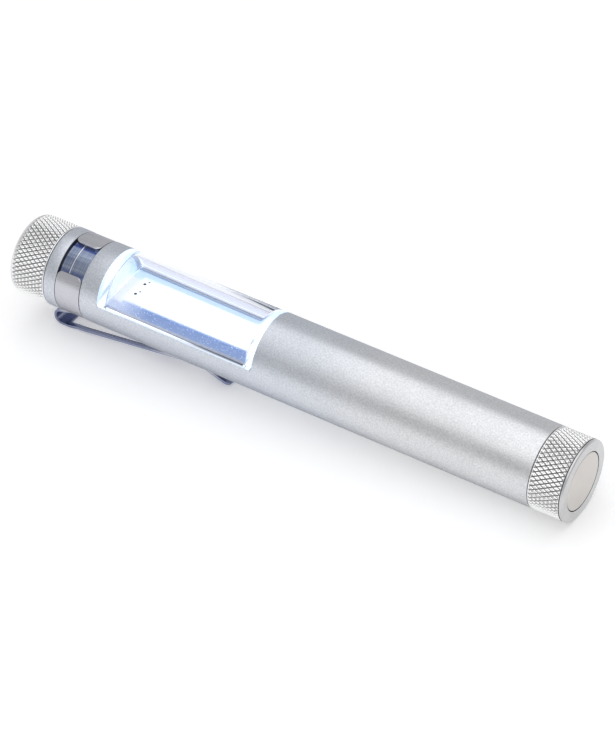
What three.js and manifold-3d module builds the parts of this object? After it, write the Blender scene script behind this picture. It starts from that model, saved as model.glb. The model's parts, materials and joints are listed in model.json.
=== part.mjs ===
/*
 * Pen-size work light: a turned aluminium barrel with a window over an LED strip along its side,
 * a knurled twist head, a knurled screw-on tail cap with a magnet, and a swivelling pocket clip.
 *
 * Millimetres, +Z up. The origin is the centre of the magnet's outer face. The axis runs from there
 * along -X to the head, the window faces +Z and the clip's arm lies below the barrel. A station is
 * a distance along the axis from the magnet's face, so it is at x = -station.
 */
import * as THREE from 'three';
import { mergeVertices } from 'three/addons/utils/BufferGeometryUtils.js';
import Module from 'manifold-3d';

const wasm = await Module();
wasm.setup();

// Cell, and the walls that build up around it to the outside of the barrel
const CELL_DIAMETER = 10.4;
const CELL_LENGTH = 44.5;
const CELL_NUB_DIAMETER = 3.8;
const CELL_NUB_HEIGHT = 1.0;
const CELL_EDGE = 0.4;
const CELL_CLEARANCE = 0.25;
const NECK_WALL = 0.55;
const THREAD_CLEARANCE = 0.3;
const CAP_WALL = 0.7;

// Clearances between pieces
const SEAM = 0.1;
const SEAT = 0.05;
const NECK_END_GAP = 0.3;
const EDGE_CHAMFER = 0.15;

// Tail cap, magnet and negative spring
const TAIL_CAP_LENGTH = 6.15;
const TAIL_CAP_FLOOR = 1.0;
const TAIL_BEVEL = 0.25;
const MAGNET_DIAMETER = 10;
const MAGNET_THICKNESS = 1.5;
const MAGNET_EDGE = 0.12;
const SPRING_WIRE = 0.6;
const SPRING_LENGTH = 5.8;
const SPRING_TURNS = 4.5;
const SPRING_SIDE_GAP = 0.85;
const SPRING_TIP_DIAMETER = 4.6;

// Barrel, from the window to the front
const WINDOW_LENGTH = 30.5;
const WINDOW_SILL = 1.0;
const COLLAR_LENGTH = 3.45;
const GROOVE_WIDTH = 5.0;
const GROOVE_DEPTH = 0.55;
const FLANGE_LENGTH = 2.25;

// Window lens
const LENS_WALL = 1.1;
const LENS_REAR_WALL = 1.8;
const LENS_FRONT_WALL = 2.4;
const LENS_FIT = 0.1;

// Head cap and its contact stud
const HEAD_CAP_LENGTH = 7.15;
const HEAD_CAP_FLOOR = 2.6;
const HEAD_END_FILLET = 1.3;
const HEAD_CONTACT_HEIGHT = 0.5;
const HEAD_CONTACT_DIAMETER = 4.0;
const HEAD_STEM_DIAMETER = 2.0;
const HEAD_STEM_LENGTH = 1.6;

// Light tray and the contacts at its two ends
const TRAY_CLEARANCE = 0.1;
const TRAY_PLUG_LENGTH = 4.0;
const TRAY_WALL = 2.0;
const TRAY_RELIEF = 0.2;
const TRAY_LEG_DEPTH = 1.3;
const DECK_THICKNESS = 1.4;
const CONTACT_THICKNESS = 0.5;
const CONTACT_RIM = 0.3;
const STEM_DIAMETER = 1.2;
const STEM_DROP = 2.0;
const STEM_PROUD = 0.8;

// LED strip
const COB_WIDTH = 7.0;
const COB_BOARD_THICKNESS = 0.6;
const COB_RISE = 0.2;
const COB_END_GAP = 0.9;
const PHOSPHOR_HEIGHT = 0.35;
const PHOSPHOR_MARGIN = 0.7;
const PHOSPHOR_CORNER = 0.8;
const PIN_DIAMETER = 0.7;
const PIN_SPACING = 2.8;
const PIN_INSET = 1.2;
const PIN_HEAD_DIAMETER = 1.3;
const PIN_HEAD_HEIGHT = 0.4;
const PIN_CLEARANCE = 0.1;
const PIN_PROUD = 0.3;

// Driver board, its parts and the two wires
const DRIVER_WIDTH = 6.6;
const DRIVER_THICKNESS = 0.8;
const DRIVER_SIDE_GAP = 0.15;
const DRIVER_END_MARGIN = 3.5;
const WIRE_DIAMETER = 0.9;
const WIRE_ROOM = 4.5;
const WIRE_LAP = 2.0;
const WIRE_SAG = 0.6;
const WIRE_STRAIGHT = 0.9;
const CAPACITOR = { along: 4.0, length: 1.25, width: 2.0, height: 0.9 };
const CHIP = { along: 7.5, length: 1.6, width: 2.9, height: 1.1 };
const DIODE = { along: 15.5, length: 1.6, width: 2.7, height: 1.0 };
const INDUCTOR = { along: 11.5, diameter: 4.0, height: 2.0 };

// Pocket clip
const CLIP_THICKNESS = 0.45;
const CLIP_ARM_WIDTH = 5.0;
const BAND_NEAR_WRAP_DEGREES = 127.5;
const BAND_FAR_WRAP_DEGREES = 184;
const BAND_SIDE_GAP = 0.1;
const BAND_CORNER = 1.0;
const TONGUE_NOTCH = 2.0;
const TONGUE_SLIT = 0.1;
const TONGUE_ROOT_THICKNESS = 0.36;
const TONGUE_FLATTEN = 0.9;
const LEG_GAP = 0.15;
const LEG_FALL = 0.95;
const LEG_REACH = 3.45;
const ARM_STANDOFF = 3.5;
const ARM_LEVEL_LENGTH = 5.4;
const ARM_CONTACT_REACH = 29.1;
const ARM_CONTACT_GAP = 0.08;
const ARM_TIP_REACH = 35.0;
const ARM_TIP_LIFT = 2.0;
const TIP_CORNER = 1.0;
const SLOT_INSET = 2.5;
const SLOT_LENGTH = 17.5;
const SLOT_WIDTH = 3.0;
const ROOT_BEND = 0.7;
const ARM_BEND = 12;
const CONTACT_BEND = 2;
const SPLIT_GAP = 0.1;

// Facets
const ROUND_SEGMENTS = 48;
const SMALL_SEGMENTS = 12;
const SPRING_SIDES = 6;
const SPRING_STEPS_PER_TURN = 16;
const GAP_POINTS_PER_TURN = 36;
const WIRE_SIDES = 8;
const WIRE_STEPS = 16;
const TONGUE_STRIPS = 6;
const CORNER_STEPS = 4;
const FILLET_STEPS = 5;
const ARC_SEGMENTS = 8;
const BEND_STEP = Math.PI / 15;
const WELD = 1e-4;
const CUT_MARGIN = 1;

// Radii, from the cell outwards
const cellRadius = CELL_DIAMETER / 2;
const boreRadius = cellRadius + CELL_CLEARANCE;
const neckRadius = boreRadius + NECK_WALL;
const skirtRadius = neckRadius + THREAD_CLEARANCE;
const bodyRadius = skirtRadius + CAP_WALL;
const grooveRadius = bodyRadius - GROOVE_DEPTH;
const lensCavityRadius = bodyRadius - LENS_WALL;
const trayRadius = boreRadius - TRAY_CLEARANCE;

// Stations along the axis, from the tail to the head
const magnetPocket = MAGNET_THICKNESS + SEAT;
const tailFloor = magnetPocket + TAIL_CAP_FLOOR;
const barrelRear = tailFloor + NECK_END_GAP;
const rearShoulder = TAIL_CAP_LENGTH + SEAM;
const springSeat = tailFloor + SEAT;
const cellStart = springSeat + SPRING_LENGTH + SEAT;
const cellEnd = cellStart + CELL_LENGTH;
const positiveFace = cellEnd + SEAT;
const trayRear = positiveFace + CONTACT_THICKNESS + SEAT;
const windowStart = trayRear + TRAY_PLUG_LENGTH;
const windowEnd = windowStart + WINDOW_LENGTH;
const grooveStart = windowEnd + COLLAR_LENGTH;
const grooveEnd = grooveStart + GROOVE_WIDTH;
const frontShoulder = grooveEnd + FLANGE_LENGTH;
const headCapRear = frontShoulder + SEAM;
const headEnd = headCapRear + HEAD_CAP_LENGTH;
const headFloor = headEnd - HEAD_CAP_FLOOR;
const barrelFront = headFloor - HEAD_CONTACT_HEIGHT - 2 * SEAT;
const trayFront = barrelFront - CONTACT_THICKNESS - SEAT;

// Stations and heights inside the light module
const cobRear = windowStart + LENS_REAR_WALL + COB_END_GAP;
const cobFront = windowEnd - LENS_FRONT_WALL - COB_END_GAP;
const pinStation = cobFront - PIN_INSET;
const cobTop = WINDOW_SILL + COB_RISE;
const deckTop = cobTop - COB_BOARD_THICKNESS - SEAT;
const channelRoof = deckTop - DECK_THICKNESS;
const driverTop = channelRoof - SEAT;
const driverBottom = driverTop - DRIVER_THICKNESS;
const driverRear = trayRear + TRAY_WALL + WIRE_ROOM;
const driverFront = pinStation + DRIVER_END_MARGIN;
const stemLength = TRAY_WALL + SEAT + STEM_PROUD;

// Meshes, solids and cuts

function weld(geometry) {
  const bare = geometry.clone();
  bare.deleteAttribute('normal');
  bare.deleteAttribute('uv');
  const merged = mergeVertices(bare, WELD);
  const corners = merged.index.array;
  const kept = [];
  for (let i = 0; i < corners.length; i += 3) {
    const [a, b, c] = corners.slice(i, i + 3);
    if (a !== b && b !== c && c !== a) kept.push(a, b, c);
  }
  merged.setIndex(kept);
  return merged;
}

function toSolid(geometry) {
  const welded = weld(geometry);
  return new wasm.Manifold(new wasm.Mesh({
    numProp: 3,
    vertProperties: new Float32Array(welded.attributes.position.array),
    triVerts: new Uint32Array(welded.index.array),
  }));
}

function toGeometry(solid) {
  const mesh = solid.getMesh();
  const geometry = new THREE.BufferGeometry();
  geometry.setAttribute('position', new THREE.Float32BufferAttribute(mesh.vertProperties, 3));
  geometry.setIndex([...mesh.triVerts]);
  return geometry;
}

function cut(geometry, ...cutters) {
  let solid = toSolid(geometry);
  for (const cutter of cutters) solid = solid.subtract(toSolid(cutter));
  return toGeometry(solid);
}

function join(first, second) {
  return toGeometry(toSolid(first).add(toSolid(second)));
}

function common(first, second) {
  return toGeometry(toSolid(first).intersect(toSolid(second)));
}

// A turned form: [station, radius] pairs, with the material to the left of the direction of travel
function turned(profile, segments = ROUND_SEGMENTS) {
  const points = profile.map(([station, radius]) => new THREE.Vector2(radius, station));
  return weld(new THREE.LatheGeometry(points, segments).rotateZ(Math.PI / 2));
}

function rod(from, to, radius, segments = ROUND_SEGMENTS) {
  return turned([[from, 0], [from, radius], [to, radius], [to, 0]], segments);
}

// A block between two stations, two sides in y and two heights
function block(from, to, yLow, yHigh, zLow, zHigh) {
  const geometry = new THREE.BoxGeometry(to - from, yHigh - yLow, zHigh - zLow);
  return geometry.translate(-(from + to) / 2, (yLow + yHigh) / 2, (zLow + zHigh) / 2);
}

// An upright round form: [height, radius] pairs at a station and a y
function upright(profile, station, y) {
  const points = profile.map(([height, radius]) => new THREE.Vector2(radius, height));
  const geometry = new THREE.LatheGeometry(points, SMALL_SEGMENTS);
  return weld(geometry.rotateX(Math.PI / 2).translate(-station, y, 0));
}

function uprightRod(station, y, low, high, radius) {
  return upright([[low, 0], [low, radius], [high, radius], [high, 0]], station, y);
}

function circle(radius, sides) {
  const shape = new THREE.Shape();
  for (let i = 0; i < sides; i++) {
    const angle = (2 * Math.PI * i) / sides;
    const x = radius * Math.cos(angle);
    const y = radius * Math.sin(angle);
    if (i === 0) shape.moveTo(x, y);
    else shape.lineTo(x, y);
  }
  return shape;
}

function tube(curve, diameter, sides, steps) {
  const options = { steps, extrudePath: curve, bevelEnabled: false };
  return weld(new THREE.ExtrudeGeometry(circle(diameter / 2, sides), options));
}

// Barrel

function barrel() {
  const tubeForm = turned([
    [barrelRear, boreRadius],
    [barrelRear, neckRadius - EDGE_CHAMFER],
    [barrelRear + EDGE_CHAMFER, neckRadius],
    [rearShoulder, neckRadius],
    [rearShoulder, bodyRadius - EDGE_CHAMFER],
    [rearShoulder + EDGE_CHAMFER, bodyRadius],
    [grooveStart, bodyRadius],
    [grooveStart, grooveRadius],
    [grooveEnd, grooveRadius],
    [grooveEnd, bodyRadius],
    [frontShoulder - EDGE_CHAMFER, bodyRadius],
    [frontShoulder, bodyRadius - EDGE_CHAMFER],
    [frontShoulder, neckRadius],
    [barrelFront - EDGE_CHAMFER, neckRadius],
    [barrelFront, neckRadius - EDGE_CHAMFER],
    [barrelFront, boreRadius],
    [barrelRear, boreRadius],
  ]);
  const reach = bodyRadius + CUT_MARGIN;
  return cut(tubeForm, block(windowStart, windowEnd, -reach, reach, WINDOW_SILL, reach));
}

function windowLens() {
  const from = windowStart + LENS_FIT;
  const to = windowEnd - LENS_FIT;
  const shell = cut(
    rod(from, to, bodyRadius),
    rod(windowStart + LENS_REAR_WALL, windowEnd - LENS_FRONT_WALL, lensCavityRadius),
  );
  const reach = bodyRadius + CUT_MARGIN;
  const above = block(from - CUT_MARGIN, to + CUT_MARGIN, -reach, reach, WINDOW_SILL + SEAT, reach);
  return common(shell, above);
}

// Tail cap, magnet and spring

function tailCap() {
  const pocketRadius = MAGNET_DIAMETER / 2 + SEAT;
  return turned([
    [magnetPocket, 0],
    [magnetPocket, pocketRadius],
    [0, pocketRadius],
    [0, bodyRadius - TAIL_BEVEL],
    [TAIL_BEVEL, bodyRadius],
    [TAIL_CAP_LENGTH - EDGE_CHAMFER, bodyRadius],
    [TAIL_CAP_LENGTH, bodyRadius - EDGE_CHAMFER],
    [TAIL_CAP_LENGTH, skirtRadius],
    [tailFloor, skirtRadius],
    [tailFloor, 0],
  ]);
}

function magnet() {
  const radius = MAGNET_DIAMETER / 2;
  return turned([
    [0, 0],
    [0, radius - MAGNET_EDGE],
    [MAGNET_EDGE, radius],
    [MAGNET_THICKNESS, radius],
    [MAGNET_THICKNESS, 0],
  ]);
}

class ConicalHelix extends THREE.Curve {
  getPoint(t) {
    const baseRadius = boreRadius - SPRING_SIDE_GAP - SPRING_WIRE / 2;
    const radius = THREE.MathUtils.lerp(baseRadius, SPRING_TIP_DIAMETER / 2, t);
    const angle = 2 * Math.PI * SPRING_TURNS * t;
    const rise = SPRING_WIRE / 2 + (SPRING_LENGTH - SPRING_WIRE) * t;
    return new THREE.Vector3(-rise, radius * Math.cos(angle), radius * Math.sin(angle));
  }
}

// Least clear gap between one turn of a coil and the next, measured on points
function leastTurnGap(curve, turns, wire) {
  const points = curve.getPoints(Math.round(turns * GAP_POINTS_PER_TURN));
  let least = Infinity;
  for (let i = 0; i < points.length; i++) {
    for (let j = i + GAP_POINTS_PER_TURN / 2; j < points.length; j++) {
      least = Math.min(least, points[i].distanceTo(points[j]) - wire);
    }
  }
  return least;
}

function tailSpring() {
  const helix = new ConicalHelix();
  const gap = leastTurnGap(helix, SPRING_TURNS, SPRING_WIRE);
  console.log(`tail_spring: least gap between turns ${gap.toFixed(2)} mm`);
  return tube(helix, SPRING_WIRE, SPRING_SIDES, Math.round(SPRING_TURNS * SPRING_STEPS_PER_TURN));
}

// Cell

function batteryCell() {
  const nubRadius = CELL_NUB_DIAMETER / 2;
  const canEnd = CELL_LENGTH - CELL_NUB_HEIGHT;
  return turned([
    [0, 0],
    [0, cellRadius - CELL_EDGE],
    [CELL_EDGE, cellRadius],
    [canEnd - CELL_EDGE, cellRadius],
    [canEnd, cellRadius - CELL_EDGE],
    [canEnd, nubRadius],
    [CELL_LENGTH, nubRadius],
    [CELL_LENGTH, 0],
  ]);
}

// Head cap and contact stud, with stations from the cap's open end

function headCap() {
  const holeRadius = HEAD_STEM_DIAMETER / 2 + SEAT;
  const floor = headFloor - headCapRear;
  const holeEnd = floor + HEAD_STEM_LENGTH + SEAT;
  const endRound = [];
  for (let i = 0; i <= FILLET_STEPS; i++) {
    const angle = (Math.PI / 2) * (i / FILLET_STEPS);
    endRound.push([
      HEAD_CAP_LENGTH - HEAD_END_FILLET * (1 - Math.sin(angle)),
      bodyRadius - HEAD_END_FILLET * (1 - Math.cos(angle)),
    ]);
  }
  return turned([
    [holeEnd, 0],
    [holeEnd, holeRadius],
    [floor, holeRadius],
    [floor, skirtRadius],
    [0, skirtRadius],
    [0, bodyRadius - EDGE_CHAMFER],
    [EDGE_CHAMFER, bodyRadius],
    ...endRound,
    [HEAD_CAP_LENGTH, 0],
  ]);
}

function headContact() {
  const base = headFloor - headCapRear - SEAT;
  const face = base - HEAD_CONTACT_HEIGHT;
  const stemEnd = base + HEAD_STEM_LENGTH;
  return turned([
    [face, 0],
    [face, HEAD_CONTACT_DIAMETER / 2],
    [base, HEAD_CONTACT_DIAMETER / 2],
    [base, HEAD_STEM_DIAMETER / 2],
    [stemEnd, HEAD_STEM_DIAMETER / 2],
    [stemEnd, 0],
  ], ROUND_SEGMENTS / 2);
}

// Light module, with stations from the tray's rear end

const inModule = (station) => station - trayRear;
const trayLength = inModule(trayFront);
const pinSides = [PIN_SPACING / 2, -PIN_SPACING / 2];

function pinHole(y, low, high) {
  const radius = PIN_DIAMETER / 2 + PIN_CLEARANCE;
  return uprightRod(inModule(pinStation), y, low - CUT_MARGIN, high + CUT_MARGIN, radius);
}

function lightTray() {
  const reach = trayRadius + CUT_MARGIN;
  const channelHalf = DRIVER_WIDTH / 2 + DRIVER_SIDE_GAP;
  const channelEnd = trayLength - TRAY_WALL;
  const deckFrom = inModule(windowStart) - TRAY_RELIEF;
  const deckTo = inModule(windowEnd) + TRAY_RELIEF;
  const stemHole = rod(-CUT_MARGIN, trayLength + CUT_MARGIN, STEM_DIAMETER / 2 + SEAT, SMALL_SEGMENTS);
  return cut(
    rod(0, trayLength, trayRadius),
    block(deckFrom, deckTo, -reach, reach, deckTop, reach),
    block(TRAY_WALL, channelEnd, -channelHalf, channelHalf, -reach, channelRoof),
    block(TRAY_WALL, channelEnd, -reach, reach, -reach, driverBottom - TRAY_LEG_DEPTH),
    stemHole.translate(0, 0, -STEM_DROP),
    ...pinSides.map((y) => pinHole(y, channelRoof, deckTop)),
  );
}

// Contact disc with its stem below the axis, pointing to the head
function contact() {
  const disc = rod(0, CONTACT_THICKNESS, STEM_DROP + STEM_DIAMETER / 2 + CONTACT_RIM);
  const stemRoot = CONTACT_THICKNESS / 2;
  const stem = rod(stemRoot, CONTACT_THICKNESS + stemLength, STEM_DIAMETER / 2, SMALL_SEGMENTS);
  return join(disc, stem.translate(0, 0, -STEM_DROP));
}

function cobBoard() {
  const half = COB_WIDTH / 2;
  const bottom = cobTop - COB_BOARD_THICKNESS;
  const plate = block(inModule(cobRear), inModule(cobFront), -half, half, bottom, cobTop);
  return cut(plate, ...pinSides.map((y) => pinHole(y, bottom, cobTop)));
}

function cobPhosphor() {
  const from = cobRear + PHOSPHOR_MARGIN;
  const to = pinStation - PIN_HEAD_DIAMETER / 2 - PHOSPHOR_MARGIN;
  const half = COB_WIDTH / 2 - PHOSPHOR_MARGIN;
  const halfLength = (to - from) / 2;
  const corner = PHOSPHOR_CORNER;
  const outline = new THREE.Shape();
  outline.absarc(halfLength - corner, half - corner, corner, 0, Math.PI / 2);
  outline.absarc(-halfLength + corner, half - corner, corner, Math.PI / 2, Math.PI);
  outline.absarc(-halfLength + corner, -half + corner, corner, Math.PI, 1.5 * Math.PI);
  outline.absarc(halfLength - corner, -half + corner, corner, 1.5 * Math.PI, 2 * Math.PI);
  const options = { depth: PHOSPHOR_HEIGHT, bevelEnabled: false, curveSegments: ARC_SEGMENTS };
  const middle = -inModule((from + to) / 2);
  return weld(new THREE.ExtrudeGeometry(outline, options).translate(middle, 0, cobTop + SEAT));
}

// Pin through the strip, the tray and the driver board, with its soldered head
function cobPin(y) {
  const seat = cobTop + SEAT;
  const radius = PIN_DIAMETER / 2;
  const headRadius = PIN_HEAD_DIAMETER / 2;
  const foot = driverBottom - PIN_PROUD;
  return upright([
    [foot, 0],
    [foot, radius],
    [seat, radius],
    [seat, headRadius],
    [seat + PIN_HEAD_HEIGHT / 2, (radius + headRadius) / 2],
    [seat + PIN_HEAD_HEIGHT, radius / 2],
    [seat + PIN_HEAD_HEIGHT, 0],
  ], inModule(pinStation), y);
}

function driverBoard() {
  const half = DRIVER_WIDTH / 2;
  const plate = block(inModule(driverRear), inModule(driverFront), -half, half, driverBottom, driverTop);
  return cut(plate, ...pinSides.map((y) => pinHole(y, driverBottom, driverTop)));
}

// A block part soldered under the driver board
function driverPart({ along, length, width, height }) {
  const from = inModule(driverRear) + along - length / 2;
  const top = driverBottom - SEAT;
  return block(from, from + length, -width / 2, width / 2, top - height, top);
}

function driverInductor() {
  const top = driverBottom - SEAT;
  const station = inModule(driverRear) + INDUCTOR.along;
  return uprightRod(station, 0, top - INDUCTOR.height, top, INDUCTOR.diameter / 2);
}

// Wire from the end of a contact's stem to its place under the driver board
function wire(stemEnd, boardEnd) {
  const inward = Math.sign(boardEnd - stemEnd);
  const low = driverBottom - SEAT - WIRE_DIAMETER / 2;
  const start = stemEnd + inward * SEAT;
  const end = boardEnd + inward * WIRE_LAP;
  const route = [
    [start, -STEM_DROP],
    [start + inward * WIRE_STRAIGHT, -STEM_DROP],
    [(start + end) / 2, Math.min(low, -STEM_DROP) - WIRE_SAG],
    [end - inward * WIRE_LAP, low],
    [end, low],
  ];
  const points = route.map(([station, z]) => new THREE.Vector3(-station, 0, z));
  return tube(new THREE.CatmullRomCurve3(points), WIRE_DIAMETER, WIRE_SIDES, WIRE_STEPS);
}

// Pocket clip, from the middle of its groove

const bandHalfWidth = GROOVE_WIDTH / 2 - BAND_SIDE_GAP;
const bandRadius = grooveRadius + SEAT + CLIP_THICKNESS / 2;
const armHalfWidth = CLIP_ARM_WIDTH / 2;
const legHeight = -(bodyRadius + LEG_GAP + CLIP_THICKNESS / 2);
const armHeight = -(bodyRadius + ARM_STANDOFF + CLIP_THICKNESS / 2);
const contactHeight = -(bodyRadius + ARM_CONTACT_GAP + CLIP_THICKNESS / 2);
const bendX = -(GROOVE_WIDTH / 2 + LEG_REACH);
const bendTop = legHeight - LEG_FALL;
const splitHeight = (bendTop + armHeight) / 2;
const bendRadius = (bendTop - armHeight) / 2 - SPLIT_GAP;

// A path in the xz plane through corners, each rounded to its bend radius if it has one
function rounded(corners) {
  const spots = corners.map(([x, z]) => new THREE.Vector2(x, z));
  const path = [spots[0]];
  for (let i = 1; i < spots.length - 1; i++) {
    const bend = corners[i][2];
    if (!bend) {
      path.push(spots[i]);
      continue;
    }
    const before = spots[i].clone().sub(spots[i - 1]).normalize();
    const after = spots[i + 1].clone().sub(spots[i]).normalize();
    const turn = Math.atan2(before.cross(after), before.dot(after));
    const start = spots[i].clone().addScaledVector(before, -bend * Math.tan(Math.abs(turn) / 2));
    const inwards = new THREE.Vector2(-before.y, before.x).multiplyScalar(Math.sign(turn) * bend);
    const centre = start.clone().add(inwards);
    const steps = Math.max(2, Math.ceil(Math.abs(turn) / BEND_STEP));
    for (let k = 0; k <= steps; k++) path.push(start.clone().rotateAround(centre, (turn * k) / steps));
  }
  path.push(spots.at(-1));
  return path;
}

// How far a strip's edge draws in at a distance from its rounded end
function cornerInset(distance, corner) {
  const short = Math.max(corner - distance, 0);
  return corner - Math.sqrt(corner * corner - short * short);
}

function cornerDistances(corner) {
  return Array.from({ length: CORNER_STEPS + 1 }, (_, k) => (
    corner * (1 - Math.cos((Math.PI / 2) * (k / CORNER_STEPS)))
  ));
}

// A strip of sheet through sections, each an upper and a lower row of points
function sheet(sections) {
  const across = sections[0].upper.length;
  const loop = 2 * across;
  const positions = [];
  for (const { upper, lower } of sections) {
    for (const point of [...upper, ...lower.toReversed()]) positions.push(...point);
  }
  const triangles = [];
  const quad = (a, b, c, d) => triangles.push(a, b, c, a, c, d);
  for (let i = 0; i < sections.length - 1; i++) {
    for (let j = 0; j < loop; j++) {
      const next = (j + 1) % loop;
      quad(i * loop + j, i * loop + next, (i + 1) * loop + next, (i + 1) * loop + j);
    }
  }
  const last = (sections.length - 1) * loop;
  for (let j = 0; j < across - 1; j++) {
    quad(j, loop - 1 - j, loop - 2 - j, j + 1);
    quad(last + j, last + j + 1, last + loop - 2 - j, last + loop - 1 - j);
  }
  const geometry = new THREE.BufferGeometry();
  geometry.setAttribute('position', new THREE.Float32BufferAttribute(positions, 3));
  geometry.setIndex(triangles);
  return geometry;
}

// Sections of a strip along a path in the xz plane, bowed to the band's curve where bowAt is 1
function strip(path, halfWidthAt, bowAt, thicknessAt, across) {
  return sheet(path.map((point, i) => {
    const ahead = path[Math.min(i + 1, path.length - 1)];
    const behind = path[Math.max(i - 1, 0)];
    const along = ahead.clone().sub(behind).normalize();
    const normal = new THREE.Vector2(along.y, -along.x).multiplyScalar(thicknessAt(point) / 2);
    const half = halfWidthAt(point);
    const row = (side) => Array.from({ length: across + 1 }, (_, j) => {
      const y = half * ((2 * j) / across - 1);
      const bow = bowAt(point) * (bandRadius - Math.sqrt(bandRadius * bandRadius - y * y));
      return [point.x + side * normal.x, y, point.y + side * normal.y + bow];
    });
    return { upper: row(1), lower: row(-1) };
  }));
}

// Open band in the groove, with rounded ends either side of the top
function band() {
  const near = -THREE.MathUtils.degToRad(BAND_NEAR_WRAP_DEGREES);
  const far = THREE.MathUtils.degToRad(BAND_FAR_WRAP_DEGREES);
  const turns = cornerDistances(BAND_CORNER).map((distance) => distance / bandRadius);
  const inner = [near + turns.at(-1), far - turns.at(-1)];
  const steps = Math.round((ROUND_SEGMENTS * (inner[1] - inner[0])) / (2 * Math.PI));
  const angles = turns.map((turn) => near + turn);
  for (let k = 1; k < steps; k++) angles.push(THREE.MathUtils.lerp(...inner, k / steps));
  angles.push(...turns.map((turn) => far - turn).toReversed());
  return sheet(angles.map((angle) => {
    const toEnd = Math.min(angle - near, far - angle) * bandRadius;
    const half = bandHalfWidth - cornerInset(toEnd, BAND_CORNER);
    const row = (radius) => [-half, half].map((x) => (
      [x, radius * Math.sin(angle), -radius * Math.cos(angle)]
    ));
    return { upper: row(bandRadius - CLIP_THICKNESS / 2), lower: row(bandRadius + CLIP_THICKNESS / 2) };
  }));
}

// Tongue pressed out of the band, the leg past the flange and the upper half of the bend
function tongue() {
  const notchEnd = -bandHalfWidth + TONGUE_NOTCH;
  const rootX = notchEnd - ROOT_BEND;
  const legStart = -bandHalfWidth;
  const flatFrom = legStart - TONGUE_FLATTEN;
  const path = rounded([
    [notchEnd + ROOT_BEND, -bandRadius],
    [notchEnd, -bandRadius],
    [rootX, -bandRadius, ROOT_BEND],
    [legStart, legHeight, ROOT_BEND],
    [bendX, bendTop, bendRadius],
    [bendX, splitHeight + SPLIT_GAP / 2],
  ]);
  const bowAt = ({ x }) => THREE.MathUtils.smoothstep(x, flatFrom, rootX);
  const thicknessAt = ({ x }) => (x >= notchEnd ? TONGUE_ROOT_THICKNESS : CLIP_THICKNESS);
  return strip(path, () => armHalfWidth, bowAt, thicknessAt, TONGUE_STRIPS);
}

function clipBand() {
  const notch = new THREE.BoxGeometry(
    TONGUE_NOTCH + CUT_MARGIN,
    2 * (armHalfWidth + TONGUE_SLIT),
    bandRadius,
  );
  notch.translate(-bandHalfWidth - CUT_MARGIN / 2 + TONGUE_NOTCH / 2, 0, -bandRadius);
  return join(cut(band(), notch), tongue());
}

function clipArm() {
  const contactX = bendX + ARM_CONTACT_REACH;
  const tip = new THREE.Vector2(bendX + ARM_TIP_REACH, contactHeight - ARM_TIP_LIFT);
  const path = rounded([
    [bendX, splitHeight - SPLIT_GAP / 2],
    [bendX, armHeight, bendRadius],
    [bendX + ARM_LEVEL_LENGTH, armHeight, ARM_BEND],
    [contactX, contactHeight, CONTACT_BEND],
    [tip.x, tip.y],
  ]);
  const towardsContact = new THREE.Vector2(contactX, contactHeight).sub(tip).normalize();
  const tipPoints = cornerDistances(TIP_CORNER).map((d) => tip.clone().addScaledVector(towardsContact, d));
  path.splice(-1, 1, ...tipPoints.toReversed());
  const halfWidthAt = (point) => armHalfWidth - cornerInset(point.distanceTo(tip), TIP_CORNER);
  const arm = strip(path, halfWidthAt, () => 0, () => CLIP_THICKNESS, 1);

  const slotStart = bendX + SLOT_INSET;
  const slotHalf = SLOT_WIDTH / 2;
  const slotRound = slotStart + SLOT_LENGTH - slotHalf;
  const outline = new THREE.Shape();
  outline.moveTo(slotStart, slotHalf);
  outline.lineTo(slotStart, -slotHalf);
  outline.absarc(slotRound, 0, slotHalf, -Math.PI / 2, Math.PI / 2);
  const depth = ARM_STANDOFF + CLIP_THICKNESS + 2 * CUT_MARGIN;
  const options = { depth, bevelEnabled: false, curveSegments: ARC_SEGMENTS };
  const slot = new THREE.ExtrudeGeometry(outline, options);
  return cut(arm, slot.translate(0, 0, armHeight - CLIP_THICKNESS - CUT_MARGIN));
}

// Finishes

function finish(color, roughness, metalness) {
  return new THREE.MeshStandardMaterial({ color, roughness, metalness });
}

const satinAluminium = () => finish(0xc9cacc, 0.42, 1);
const knurledAluminium = () => finish(0xd6d7d8, 0.28, 1);
const nickel = () => finish(0xcdc8c3, 0.3, 1);
const springSteel = () => finish(0xb9bac4, 0.12, 1);
const brass = () => finish(0xc9a557, 0.3, 1);
const solder = () => finish(0x9a9a9c, 0.35, 1);
const whitePlastic = () => finish(0xe9ecf2, 0.5, 0);
const circuitBoard = () => finish(0x2f6b45, 0.55, 0);
const blackEpoxy = () => finish(0x1c1c1e, 0.5, 0);

function clearLens() {
  const material = finish(0xeef3ff, 0.05, 0);
  material.transparent = true;
  material.opacity = 0.35;
  return material;
}

// Assembly

function piece(name, geometry, material, station = 0) {
  const mesh = new THREE.Mesh(geometry, material);
  mesh.name = name;
  mesh.position.x = -station;
  return mesh;
}

function group(station, ...pieces) {
  const assembly = new THREE.Group();
  assembly.position.x = -station;
  assembly.add(...pieces);
  return assembly;
}

const tailEnd = group(
  0,
  piece('tail_cap', tailCap(), knurledAluminium()),
  piece('magnet', magnet(), nickel()),
  piece('tail_spring', tailSpring(), springSteel(), springSeat),
);

const frontContact = piece('front_contact_plate', contact(), brass(), trayLength + SEAT + CONTACT_THICKNESS);
frontContact.rotation.z = Math.PI;

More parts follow.
